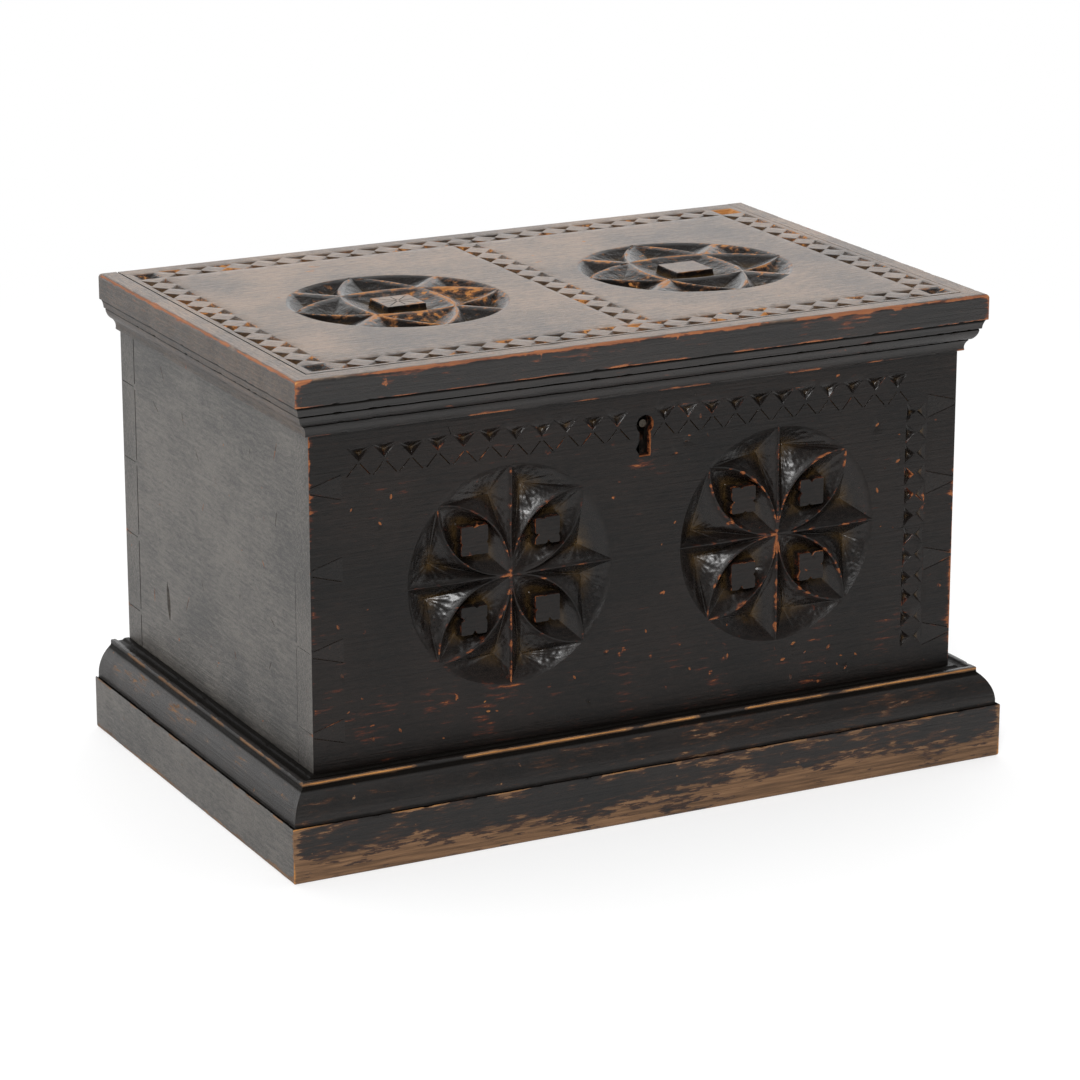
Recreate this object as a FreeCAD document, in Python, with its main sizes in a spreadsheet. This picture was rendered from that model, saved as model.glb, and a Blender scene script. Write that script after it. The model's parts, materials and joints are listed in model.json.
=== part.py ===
import FreeCAD, Part
import math
import os
import re

import Sketcher
from FreeCAD import Placement, Rotation, Vector

# Chip-carved box for papers and keepsakes: a dovetailed box with a nailed base moulding, a hinged lid with
# a moulded lip, and a cut box lock behind a bare keyhole. Millimetres, +Z up, the front looks along -Y.
# The origin is the middle of the whole footprint, on the floor.

# Driving dimensions
SIZES = {
    "box_width": 407.0,
    "box_depth": 267.5,
    "board_thickness": 19.0,
    "rim_height": 258.0,
    "bottom_thickness": 19.0,
    "bottom_lift": 10.0,
    "pin_count": 4,
    "pin_tip": 1.6,
    "pin_root": 12.5,
    "base_height": 53.5,
    "base_projection": 22.5,
    "base_fascia": 32.0,
    "base_quirk": 2.0,
    "base_ovolo_width": 8.5,
    "base_ovolo_radius": 22.0,
    "base_fillet": 3.0,
    "base_arris": 1.5,
    "lid_thickness": 19.0,
    "lid_clearance": 0.5,
    "lid_moulding_width": 12.0,
    "lid_moulding_height": 34.0,
    "lid_arris": 2.0,
    "lid_fascia": 15.0,
    "lid_cove_width": 2.6,
    "lid_cove_height": 6.0,
    "lid_cove_radius": 12.0,
    "lid_quirk": 1.0,
    "lid_ovolo_width": 3.4,
    "lid_ovolo_height": 6.5,
    "lid_ovolo_radius": 8.0,
    "lid_step": 0.8,
    "lid_foot_width": 2.5,
    "lid_foot_radius": 6.0,
    "front_rosette_radius": 63.5,
    "front_rosette_spacing": 169.0,
    "front_rosette_offset": 1.5,
    "front_rosette_height": 149.0,
    "front_rosette_depth": 8.0,
    "front_rosette_eye": 9.0,
    "front_boss": 17.0,
    "lid_rosette_radius": 64.0,
    "lid_rosette_spacing": 186.0,
    "lid_rosette_offset": 3.0,
    "lid_rosette_depth": 6.0,
    "lid_well": 28.0,
    "lid_boss": 27.0,
    "ridge_width": 1.2,
    "nail_head_radius": 1.7,
    "nail_tip_radius": 0.8,
    "nail_length": 44.0,
    "brad_head_radius": 1.2,
    "brad_tip_radius": 0.6,
    "brad_length": 30.0,
    "nail_clearance": 0.1,
    "base_front_nails": 4,
    "base_side_nails": 3,
    "bottom_front_nails": 3,
    "bottom_side_nails": 2,
    "lid_front_brads": 4,
    "lid_side_brads": 3,
    "hinge_length": 50.0,
    "hinge_leaf_width": 15.0,
    "hinge_leaf_thickness": 1.8,
    "hinge_knuckle_radius": 3.2,
    "hinge_setback": 3.5,
    "hinge_inset": 73.5,
    "hinge_pin_radius": 1.5,
    "hinge_running_gap": 0.05,
    "hinge_end_gap": 0.3,
    "screw_head_radius": 2.8,
    "screw_head_height": 1.6,
    "screw_shank_radius": 1.3,
    "screw_length": 13.0,
    "screw_recess": 0.1,
    "screw_clearance": 0.1,
    "screw_spacing": 17.0,
    "lock_plate_width": 68.0,
    "lock_margin": 6.0,
    "lock_plate_thickness": 2.0,
    "lock_selvedge_depth": 14.0,
    "lock_case_width": 54.0,
    "lock_case_depth": 10.4,
    "lock_case_wall": 1.4,
    "lock_screw_margin": 10.0,
    "keyhole_drop": 34.0,
    "keyhole_radius": 5.4,
    "keyhole_slot_width": 7.0,
    "keyhole_slot_drop": 18.0,
    "drill_pin_radius": 2.2,
    "drill_pin_recess": 3.0,
    "drill_pin_clearance": 0.1,
    "bolt_length": 34.0,
    "bolt_height": 8.0,
    "bolt_thickness": 3.6,
    "bolt_drop": 10.0,
    "bolt_travel": 9.0,
    "bolt_setback": 2.0,
    "bolt_talon_radius": 3.0,
    "bolt_clearance": 0.4,
    "stump_radius": 1.5,
    "stump_clearance": 0.1,
    "stump_offset": 21.5,
    "staple_offset": 13.0,
    "staple_width": 4.0,
    "staple_wall": 1.5,
    "staple_toe": 2.0,
    "staple_clearance": 0.9,
    "staple_swing": 1.8,
    "staple_plate_length": 44.0,
    "staple_plate_width": 11.0,
    "staple_plate_thickness": 2.0,
    "spring_thickness": 0.8,
    "spring_width": 3.0,
    "spring_radius": 44.0,
    "spring_offset": 25.0,
    "spring_clearance": 0.2,
}

# Where the carver's cuts are deepest: shares of a rosette's radius, and degrees from its ridges
FRONT_CHIP_SHARE = 0.66
FRONT_CHIP_ANGLE = 13.5
LID_RIM_CHIP_SHARE = 0.8
LID_RIM_CHIP_ANGLE = 24
LID_TIP_CHIP_SHARE = 0.66
QUARTER = 90
EIGHTH = 45

# Places worked out from the driving dimensions, as expressions
OVERALL_DEPTH = "(base_projection + box_depth + hinge_setback + hinge_knuckle_radius)"
FRONT = "(base_projection - %s / 2)" % OVERALL_DEPTH
BACK = "(%s + box_depth)" % FRONT
INNER = "(%s + board_thickness)" % FRONT
SIDE = "(box_width / 2)"
CARCASS_BOTTOM = "(bottom_lift + bottom_thickness)"
CARCASS_HEIGHT = "(rim_height - %s)" % CARCASS_BOTTOM
PIN_PITCH = "(%s / (pin_count + 1))" % CARCASS_HEIGHT
LID_TOP = "(rim_height + lid_thickness)"
HINGE_AXIS = "(%s + hinge_setback)" % BACK
HINGE_MIDDLE = "(%s - hinge_inset)" % SIDE
KEYHOLE = "(rim_height - keyhole_drop)"
LOCK_HEIGHT = "(keyhole_drop + keyhole_slot_drop + lock_margin)"
CASE_HEIGHT = "(%s - 2 * lock_plate_thickness)" % LOCK_HEIGHT
BOLT_TOP = "(rim_height - lock_plate_thickness - bolt_drop)"
STAPLE_MIDDLE = (
    "(%s - lock_plate_thickness - staple_clearance / 2 - staple_wall - bolt_clearance - bolt_thickness / 2)"
    % INNER
)
STAPLE_OUTER = "(bolt_thickness + 2 * bolt_clearance + 2 * staple_wall)"

RIGHT = Vector(1, 0, 0)
BACKWARDS = Vector(0, 1, 0)
UP = Vector(0, 0, 1)

doc = FreeCAD.newDocument("CarvedBox")
sheet = doc.addObject("Spreadsheet::Sheet", "Sizes")
for row, (size_name, size) in enumerate(SIZES.items(), start=1):
    sheet.set("A%d" % row, size_name)
    sheet.set("B%d" % row, str(size))
    sheet.setAlias("B%d" % row, size_name)
doc.recompute()

nodes = {}


# Helpers
def bound(expression):
    """The expression with every size in it pointing at its cell."""
    return re.sub("[a-z_]+", lambda word: ("Sizes." if word[0] in SIZES else "") + word[0], expression)


def value(expression):
    """What an expression comes to, as a number."""
    return float(sheet.evalExpression(expression))


def bind(thing, **expressions):
    """Bind properties of an object to expressions; a double underscore stands for a dot."""
    for path, expression in expressions.items():
        thing.setExpression(path.replace("__", "."), bound(expression))
    return thing


def move(thing, place):
    """Bind an object's place to three expressions."""
    x, y, z = place
    return bind(thing, Placement__Base__x=x, Placement__Base__y=y, Placement__Base__z=z)


def node(label, thing):
    """Register an object as a sub-part under its label."""
    thing.Label = label
    nodes[label] = thing
    return thing


def block(name, low, size):
    """A box from its low corner and its three sizes."""
    thing = doc.addObject("Part::Box", name)
    bind(thing, Length=size[0], Width=size[1], Height=size[2])
    return move(thing, low)


def rod(name, radius, length, start, direction):
    """A round bar that leaves a start point in a direction."""
    thing = doc.addObject("Part::Cylinder", name)
    thing.Placement.Rotation = Rotation(UP, direction)
    bind(thing, Radius=radius, Height=length)
    return move(thing, start)


def taper(name, first_radius, last_radius, length, start, direction):
    """A round taper that leaves a start point in a direction."""
    thing = doc.addObject("Part::Cone", name)
    thing.Placement.Rotation = Rotation(UP, direction)
    bind(thing, Radius1=first_radius, Radius2=last_radius, Height=length)
    return move(thing, start)


def fuse(name, things):
    """Several touching solids joined to one."""
    thing = doc.addObject("Part::MultiFuse", name)
    thing.Shapes = things
    thing.Refine = True
    return thing


def group(name, things):
    """Separate solids kept together as one object."""
    thing = doc.addObject("Part::Compound", name)
    thing.Links = things
    return thing


def cut(name, base, tools):
    """A solid with other solids, which stay clear of each other, taken out of it."""
    thing = doc.addObject("Part::Cut", name)
    thing.Base = base
    thing.Tool = group(name + "_tools", tools) if len(tools) > 1 else tools[0]
    return thing


def common(name, base, tool):
    """What two solids share."""
    thing = doc.addObject("Part::Common", name)
    thing.Base = base
    thing.Tool = tool
    return thing


def sketch(body, name, role, outline):
    """A closed outline in one of a body's planes, with every corner bound to the sheet.

    A corner is (across, up) or (across, up, radius, side): the edge that leaves it is then an arc of that
    radius, bowed to its left (side 1) or right (side -1).
    """
    thing = body.newObject("Sketcher::SketchObject", name)
    plane = next(feature for feature in body.Origin.OriginFeatures if feature.Role == role)
    thing.AttachmentSupport = [(plane, "")]
    thing.MapMode = "FlatFace"
    spots = [Vector(value(corner[0]), value(corner[1]), 0) for corner in outline]
    ends = []
    for index, corner in enumerate(outline):
        start, stop = spots[index], spots[(index + 1) % len(spots)]
        if len(corner) == 2:
            thing.addGeometry(Part.LineSegment(start, stop))
            ends.append((1, 2))
            continue
        chord, side = stop - start, corner[3]
        radius = value(corner[2])
        left = Vector(-chord.y, chord.x, 0).normalize()
        centre = (start + stop) / 2 - left * side * math.sqrt(radius**2 - (chord.Length / 2) ** 2)
        ends.append((2, 1) if side > 0 else (1, 2))
        first, last = ((spot - centre) for spot in ((stop, start) if side > 0 else (start, stop)))
        begin, end = math.atan2(first.y, first.x), math.atan2(last.y, last.x)
        sweep = (end - begin) % math.tau
        thing.addGeometry(Part.ArcOfCircle(Part.Circle(centre, UP, radius), begin, begin + sweep))
    for index, corner in enumerate(outline):
        after = (index + 1) % len(outline)
        thing.addConstraint(Sketcher.Constraint("Coincident", index, ends[index][1], after, ends[after][0]))
        for kind, expression in (("DistanceX", corner[0]), ("DistanceY", corner[1])):
            spot = (-1, 1, index, ends[index][0])
            at = thing.addConstraint(Sketcher.Constraint(kind, *spot, value(expression)))
            thing.setExpression("Constraints[%d]" % at, bound(expression))
        if len(corner) > 2:
            at = thing.addConstraint(Sketcher.Constraint("Radius", index, value(corner[2])))
            thing.setExpression("Constraints[%d]" % at, bound(corner[2]))
    return thing


def moulding(label, profile, reach, length, mitres, turn, place):
    """A length of moulding: its profile padded along X and mitred at the ends asked for.

    The inner face lies on Y = 0 and runs from X = 0 to the length; the profile reaches out towards -Y.
    """
    body = doc.addObject("PartDesign::Body", label)
    section = sketch(body, label + "_profile", "YZ_Plane", profile)
    start = "-%s" % reach if mitres[0] else "0"
    bind(section, AttachmentOffset__Base__z=start)
    run = body.newObject("PartDesign::Pad", label + "_run")
    run.Profile = section
    ends = " + ".join(reach for mitred in mitres if mitred)
    bind(run, Length="%s + %s" % (length, ends))
    tip = run
    far, out = "%s + %s" % (length, reach), "-%s" % reach
    corners = {
        "start": [("0", "0"), (out, "0"), (out, out)],
        "end": [(length, "0"), (far, out), (far, "0")],
    }
    for mitred, end in zip(mitres, corners):
        if mitred:
            saw_line = sketch(body, "%s_%s_line" % (label, end), "XY_Plane", corners[end])
            tip = body.newObject("PartDesign::Pocket", "%s_%s_mitre" % (label, end))
            tip.Profile = saw_line
            tip.Type = "ThroughAll"
            tip.Midplane = True
    body.Tip = tip
    body.Placement.Rotation = Rotation(UP, turn)
    return move(body, place)


def around(label, profile, reach, width, depth, low):
    """Front, left and right lengths of a moulding round three sides, mitred at the front corners."""
    right, left = "(%s / 2)" % width, "(-%s / 2)" % width
    front = "(%s - %s)" % (BACK, depth)
    lengths = {
        "front": (width, (True, True), 0, (left, front, low)),
        "right": (depth, (True, False), QUARTER, (right, front, low)),
        "left": (depth, (False, True), -QUARTER, (left, BACK, low)),
    }
    return {
        side: moulding("%s_%s" % (label, side), profile, reach, *length)
        for side, length in lengths.items()
    }


def spaced(count, length):
    """Expressions for places spread evenly along a length, from its middle."""
    pieces = int(value(count))
    return ["(%s * %s)" % (length, (index + 0.5) / pieces - 0.5) for index in range(pieces)]


def nails(name, kind, starts, direction):
    """Tapered nails of one kind and the holes they fill, from start points in one direction."""
    made, holes = [], []
    for index, start in enumerate(starts):
        radii = (kind + "_head_radius", kind + "_tip_radius")
        made.append(taper("%s_%d" % (name, index), *radii, kind + "_length", start, direction))
        wider = tuple(radius + " + nail_clearance" for radius in radii)
        length = "%s_length + nail_clearance" % kind
        holes.append(taper("%s_hole_%d" % (name, index), *wider, length, start, direction))
    return made, holes


def screw_shape(name, wider, longer, start, direction):
    """A countersunk screw, or its hole if it is made wider and longer."""
    head_radius, shank_radius = "screw_head_radius + " + wider, "screw_shank_radius + " + wider
    head_height, length = "screw_head_height + " + longer, "screw_length + %s + %s" % (longer, wider)
    head = taper(name + "_head", head_radius, shank_radius, head_height, start, direction)
    return fuse(name, [head, rod(name + "_shank", shank_radius, length, start, direction)])


def screws(name, starts, direction):
    """Countersunk wood screws and the holes they fill, with heads just below the start points."""
    made, holes = [], []
    lines = {"x": RIGHT, "y": BACKWARDS, "z": UP}
    axis = max(lines, key=lambda letter: abs(direction.dot(lines[letter])))
    sign = "+" if direction.dot(lines[axis]) > 0 else "-"
    for index, start in enumerate(starts):
        below = dict(zip("xyz", start))
        below[axis] = "%s %s screw_recess" % (below[axis], sign)
        sunk = tuple(below.values())
        made.append(screw_shape("%s_screw_%d" % (name, index), "0", "0", sunk, direction))
        holes.append(
            screw_shape("%s_hole_%d" % (name, index), "screw_clearance", "screw_recess", start, direction)
        )
    return made, holes


# Dovetails: each corner has full pins between two half pins, narrow outside and wide at the inner face
def corner_pins(name, side, low_y):
    """The pins of one corner, as solids: side -1 is the left end board, low_y their front end."""
    pins = []
    last = int(value("pin_count")) + 1
    for index in range(last + 1):
        pin = doc.addObject("Part::Wedge", "%s_%d" % (name, index))
        below = "0" if index == 0 else "0.5"
        above = "0" if index == last else "0.5"
        pin.Placement.Rotation = Rotation(UP, QUARTER * side)
        bind(pin, Xmin="0", X2min="0", Ymin="0", Xmax="board_thickness", X2max="board_thickness")
        bind(pin, Ymax="board_thickness", Zmin="-pin_tip * " + below, Zmax="pin_tip * " + above)
        bind(pin, Z2min="-pin_root * " + below, Z2max="pin_root * " + above)
        start = low_y if side > 0 else "%s + board_thickness" % low_y
        height = "%s + %s * %d" % (CARCASS_BOTTOM, PIN_PITCH, index)
        pins.append(move(pin, ("%s * %d" % (SIDE, side), start, height)))
    return pins


BACK_PINS = "(%s - board_thickness)" % BACK
pins = {
    (side, end): corner_pins("pin_%s_%s" % (end, "right" if side > 0 else "left"), side, low_y)
    for side in (-1, 1)
    for end, low_y in (("front", FRONT), ("back", BACK_PINS))
}

# Nails that hold the base, the bottom and the lid mouldings
BASE_NAIL_HEIGHT = "(bottom_lift + bottom_thickness / 2)"
LID_BRAD_HEIGHT = "(rim_height + lid_thickness / 2)"
BASE_OUT = "(%s + base_projection)" % SIDE
LID_OUT = "(%s + lid_clearance + lid_moulding_width)" % SIDE
WALL_MIDDLE = "(board_thickness / 2)"
BOX_MIDDLE = "(%s + box_depth / 2)" % FRONT


def along_depth(count):
    """Expressions for places spread evenly along the box's depth."""
    return ["%s + %s" % (BOX_MIDDLE, place) for place in spaced(count, "box_depth")]


def nail_rows(name, kind, front_count, side_count, out, front_y, height):
    """Nails through the front, left and right lengths of a moulding."""
    starts = [(x, front_y, height) for x in spaced(front_count, "box_width")]
    rows = {"front": nails(name + "_front", kind, starts, BACKWARDS)}
    for side, sign, direction in (("left", "-", RIGHT), ("right", "", -RIGHT)):
        starts = [(sign + out, y, height) for y in along_depth(side_count)]
        rows[side] = nails("%s_%s" % (name, side), kind, starts, direction)
    return rows


base_rows = nail_rows(
    "base_nail", "nail", "base_front_nails", "base_side_nails", BASE_OUT,
    "%s - base_projection" % FRONT, BASE_NAIL_HEIGHT,
)
lid_rows = nail_rows(
    "lid_brad", "brad", "lid_front_brads", "lid_side_brads", LID_OUT,
    "%s - lid_clearance - lid_moulding_width" % FRONT, LID_BRAD_HEIGHT,
)
bottom_across = spaced("bottom_front_nails", "box_width")
bottom_along = along_depth("bottom_side_nails")
bottom_starts = {
    "front": [(x, "%s + %s" % (FRONT, WALL_MIDDLE), "bottom_lift") for x in bottom_across],
    "back": [(x, "%s - %s" % (BACK, WALL_MIDDLE), "bottom_lift") for x in bottom_across],
    "left": [("%s - %s" % (WALL_MIDDLE, SIDE), y, "bottom_lift") for y in bottom_along],
    "right": [("%s - %s" % (SIDE, WALL_MIDDLE), y, "bottom_lift") for y in bottom_along],
}
bottom_rows = {
    wall: nails("bottom_nail_" + wall, "nail", starts, UP) for wall, starts in bottom_starts.items()
}

for label, rows in (("base_nails", base_rows), ("bottom_nails", bottom_rows), ("lid_brads", lid_rows)):
    node(label, group(label + "_set", sum((made for made, holes in rows.values()), [])))


# Carved rosettes: chips cut to a point from outlines of lines and compass arcs
def arc(start, middle, stop):
    """An edge through three points."""
    return Part.Arc(start, middle, stop).toShape()


def line(start, stop):
    """A straight edge."""
    return Part.LineSegment(start, stop).toShape()


def chip(edges, deepest, depth):
    """A chip of wood: the outline drawn in for the ridge beside it, then ruled down to its deepest point."""
    outline = Part.Wire(edges)
    reach = min(deepest.distanceToPoint(vertex.Point) for vertex in outline.Vertexes)
    outline.scale(1 - value("ridge_width") / reach, deepest)
    return Part.makeLoft([outline, Part.Vertex(deepest - UP * depth)], True, True)


def polar(radius, degrees):
    """A point at a radius and an angle."""
    return Vector(radius * math.cos(math.radians(degrees)), radius * math.sin(math.radians(degrees)), 0)


def turned(shape, mirrored):
    """A shape in each quarter round the centre, with its mirror image in the X axis if asked."""
    pair = [shape, shape.mirror(Vector(), BACKWARDS)] if mirrored else [shape]
    return [one.rotated(Vector(), UP, QUARTER * turn) for turn in range(4) for one in pair]


def front_rosette():
    """Eight hollows between ridges and petals, and four hollow petals that each keep a square boss.

    The petals lie between circles of radius R / sqrt 2 centred on the axes at that distance.
    """
    radius, depth = value("front_rosette_radius"), value("front_rosette_depth")
    eye = value("front_rosette_eye")
    compass = radius / math.sqrt(2)
    rim, tip = polar(radius, 0), polar(radius, EIGHTH)
    start = Vector(eye, compass - math.sqrt(compass**2 - eye**2), 0)
    edge_middle = Vector(0, compass, 0) + polar(compass, -EIGHTH)
    foot = Vector(eye, 0, 0)
    rim_edge = arc(rim, polar(radius, EIGHTH / 2), tip)
    outline = [line(foot, rim), rim_edge, arc(tip, edge_middle, start), line(start, foot)]
    hollow = chip(outline, polar(radius * FRONT_CHIP_SHARE, FRONT_CHIP_ANGLE), depth)
    lower_edge = arc(Vector(), Vector(0, compass, 0) + polar(compass, -EIGHTH), tip)
    upper_edge = arc(tip, Vector(compass, 0, 0) + polar(compass, QUARTER + EIGHTH), Vector())
    petal = chip([lower_edge, upper_edge], tip / 2, depth)
    boss = value("front_boss")
    block_shape = Part.makeBox(boss, boss, 2 * depth, tip / 2 - Vector(boss / 2, boss / 2, depth))
    return Part.makeCompound(turned(hollow, True) + turned(petal.cut(block_shape), False))


def lid_rosette():
    """A square well with a boss, inside two crossed lens shapes, with chips out to the rim between ridges.

    Each lens edge is a compass arc from one rim point to the opposite one, bowed out as far as the well.
    """
    radius, depth, bow = value("lid_rosette_radius"), value("lid_rosette_depth"), value("lid_well")
    compass = (radius**2 + bow**2) / (2 * bow)
    centre = bow - compass
    corner = (centre + math.sqrt(2 * compass**2 - centre**2)) / 2
    rim, diagonal = polar(radius, 0), polar(radius, EIGHTH)
    upper, lower = Vector(corner, corner, 0), Vector(corner, -corner, 0)
    angles = [math.degrees(math.atan2(spot.y - centre, spot.x)) for spot in (rim, upper)]
    lens_upper = Vector(0, centre, 0) + polar(compass, sum(angles) / 2)
    lens_lower = Vector(lens_upper.x, -lens_upper.y, 0)
    rim_edge = arc(rim, polar(radius, EIGHTH / 2), diagonal)
    rim_chip = chip(
        [rim_edge, line(diagonal, upper), arc(upper, lens_upper, rim)],
        polar(radius * LID_RIM_CHIP_SHARE, LID_RIM_CHIP_ANGLE), depth,
    )
    well_edge = arc(upper, polar(bow, 0), lower)
    tip_chip = chip(
        [arc(rim, lens_upper, upper), well_edge, arc(lower, lens_lower, rim)],
        polar(radius * LID_TIP_CHIP_SHARE, 0), depth,
    )
    rounds = [polar(bow, QUARTER * turn) for turn in range(4)]
    corners = [polar(corner * math.sqrt(2), QUARTER * turn - EIGHTH) for turn in range(5)]
    mouth = Part.Wire([arc(corners[turn], rounds[turn], corners[turn + 1]) for turn in range(4)])
    mouth.scale(1 - value("ridge_width") / bow, Vector())
    boss = value("lid_boss")
    foot = Part.makePolygon([spot * (boss / 2 / corner) - UP * depth for spot in corners])
    well = Part.makeLoft([mouth, foot], True, True)
    well = well.cut(Part.makeBox(boss, boss, 2 * depth, Vector(-boss / 2, -boss / 2, -depth)))
    return Part.makeCompound(turned(rim_chip, True) + turned(tip_chip, False) + [well])


def carved(name, shape, rotation, y, z):
    """The cutters of a pair of rosettes, a spacing apart about a middle that is off to one side."""
    pair = []
    for side in (-1, 1):
        cutter = doc.addObject("Part::Feature", "%s_%s" % (name, "right" if side > 0 else "left"))
        cutter.Shape = shape
        cutter.Placement = Placement(Vector(), rotation)
        x = "%s_offset + %s_spacing / 2 * %d" % (name, name, side)
        pair.append(move(cutter, (x, y, z)))
    return pair


front_turn = Rotation(RIGHT, QUARTER)
front_cutters = carved("front_rosette", front_rosette(), front_turn, FRONT, "front_rosette_height")
LID_MIDDLE = "(%s - (box_depth + lid_clearance + lid_moulding_width) / 2)" % BACK
lid_cutters = carved("lid_rosette", lid_rosette(), Rotation(), LID_MIDDLE, LID_TOP)


# Lock: plate with selvedge, case, bolt on a stump, spring and drill pin
def keyhole(name, start_y, length):
    """A keyhole through the front: a round with a slot below it."""
    round_part = rod(name + "_round", "keyhole_radius", length, ("0", start_y, KEYHOLE), BACKWARDS)
    slot = block(
        name + "_slot", ("-keyhole_slot_width / 2", start_y, "%s - keyhole_slot_drop" % KEYHOLE),
        ("keyhole_slot_width", length, "keyhole_slot_drop"),
    )
    return fuse(name, [round_part, slot])


PLATE_FACE = "(%s - lock_plate_thickness)" % INNER
CASE_FACE = "(%s - lock_case_depth)" % PLATE_FACE
SELVEDGE_BOTTOM = "(rim_height - lock_plate_thickness)"
BOLT_FACE = "(%s - bolt_thickness / 2)" % STAPLE_MIDDLE
BOLT_TIP = "(staple_offset - staple_width / 2 - bolt_setback)"
BOLT_BOTTOM = "(%s - bolt_height)" % BOLT_TOP
STUMP_X = "(%s - stump_offset)" % BOLT_TIP
STUMP_HEIGHT = "(%s - bolt_height / 2)" % BOLT_TOP
LOCK_BOTTOM = "(rim_height - %s)" % LOCK_HEIGHT

screw_heights = ("rim_height - lock_screw_margin", "%s + lock_screw_margin" % LOCK_BOTTOM)
screw_places = ("(lock_case_width + lock_plate_width) / 4", "-(lock_case_width + lock_plate_width) / 4")
lock_screws, lock_screw_holes = screws(
    "lock", [(x, INNER, z) for x in screw_places for z in screw_heights], -BACKWARDS
)
node("lock_screws", group("lock_screw_set", lock_screws))

drill_pin_length = "board_thickness - drill_pin_recess"
drill_pin_start = ("0", INNER, KEYHOLE)
node("lock_drill_pin", rod("drill_pin", "drill_pin_radius", drill_pin_length, drill_pin_start, -BACKWARDS))
drill_pin_hole = rod(
    "drill_pin_hole", "drill_pin_radius + drill_pin_clearance", drill_pin_length, drill_pin_start, -BACKWARDS
)


def lock_plates(name):
    """The upright and the top edge, or selvedge, of the lock's back plate."""
    upright = block(
        name + "_upright", ("-lock_plate_width / 2", PLATE_FACE, LOCK_BOTTOM),
        ("lock_plate_width", "lock_plate_thickness", LOCK_HEIGHT),
    )
    selvedge = block(
        name + "_selvedge", ("-lock_plate_width / 2", "%s - lock_selvedge_depth" % INNER, SELVEDGE_BOTTOM),
        ("lock_plate_width", "lock_selvedge_depth", "lock_plate_thickness"),
    )
    return [upright, selvedge]


stump = rod(
    "lock_stump", "stump_radius", "lock_case_depth - lock_case_wall",
    (STUMP_X, PLATE_FACE, STUMP_HEIGHT), -BACKWARDS,
)
plate_blank = fuse("lock_plate_blank", lock_plates("lock_plate") + [stump])
slot_front = "%s - %s / 2 - staple_swing" % (STAPLE_MIDDLE, STAPLE_OUTER)
slot_depth = "%s + staple_swing + staple_clearance / 2" % STAPLE_OUTER
staple_slot = block(
    "staple_slot", ("staple_offset - staple_width / 2 - staple_clearance", slot_front, SELVEDGE_BOTTOM),
    ("staple_width + 2 * staple_clearance", slot_depth, "lock_plate_thickness"),
)
node("lock_back_plate", cut("lock_plate_cut", plate_blank, [staple_slot, drill_pin_hole] + lock_screw_holes))

CASE_BOTTOM = "(%s - %s)" % (SELVEDGE_BOTTOM, CASE_HEIGHT)
case_low = ("-lock_case_width / 2", CASE_FACE, CASE_BOTTOM)
case_blank = block("lock_case_blank", case_low, ("lock_case_width", "lock_case_depth", CASE_HEIGHT))
case_hollow = block(
    "lock_case_hollow", tuple("%s + lock_case_wall" % place for place in case_low),
    ("lock_case_width - 2 * lock_case_wall", "lock_case_depth - lock_case_wall",
     "%s - lock_case_wall" % CASE_HEIGHT),
)
node("lock_case", cut(
    "lock_case_cut", cut("lock_case_tray", case_blank, [case_hollow]),
    [keyhole("case_keyhole", CASE_FACE, "lock_case_wall")],
))

bolt_bar = block(
    "bolt_bar", ("%s - bolt_length" % BOLT_TIP, BOLT_FACE, BOLT_BOTTOM),
    ("bolt_length", "bolt_thickness", "bolt_height"),
)
talon_start = ("-bolt_travel / 2", BOLT_FACE, BOLT_BOTTOM)
bolt_talon = rod("bolt_talon", "bolt_talon_radius", "bolt_thickness", talon_start, BACKWARDS)
slot_radius = "(stump_radius + stump_clearance)"
slot_places = {"right": STUMP_X, "left": "(%s - bolt_travel)" % STUMP_X}
slot_ends = [
    rod("bolt_slot_" + end, slot_radius, "bolt_thickness", (x, BOLT_FACE, STUMP_HEIGHT), BACKWARDS)
    for end, x in slot_places.items()
]
slot_middle = block(
    "bolt_slot_middle", (slot_places["left"], BOLT_FACE, "%s - %s" % (STUMP_HEIGHT, slot_radius)),
    ("bolt_travel", "bolt_thickness", "2 * %s" % slot_radius),
)
bolt_slot = fuse("bolt_slot", slot_ends + [slot_middle])
node("lock_bolt", cut("bolt_cut", bolt_bar, [bolt_talon, bolt_slot]))

spring_centre = (
    "%s - spring_offset" % BOLT_TIP, "%s - spring_width / 2" % STAPLE_MIDDLE,
    "%s + spring_clearance + spring_radius" % BOLT_TOP,
)
spring_outer = rod("spring_outer", "spring_radius", "spring_width", spring_centre, BACKWARDS)
spring_inner = rod(
    "spring_inner", "spring_radius - spring_thickness", "spring_width", spring_centre, BACKWARDS
)
spring_ring = cut("spring_ring", spring_outer, [spring_inner])
spring_low = "(lock_case_wall - lock_case_width / 2 + bolt_clearance)"
spring_room = block(
    "spring_room", (spring_low, "%s - spring_width" % STAPLE_MIDDLE, BOLT_TOP),
    ("%s - %s" % (BOLT_TIP, spring_low), "2 * spring_width", "bolt_drop - spring_clearance"),
)
node("lock_spring", common("spring_leaf", spring_ring, spring_room))

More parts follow.
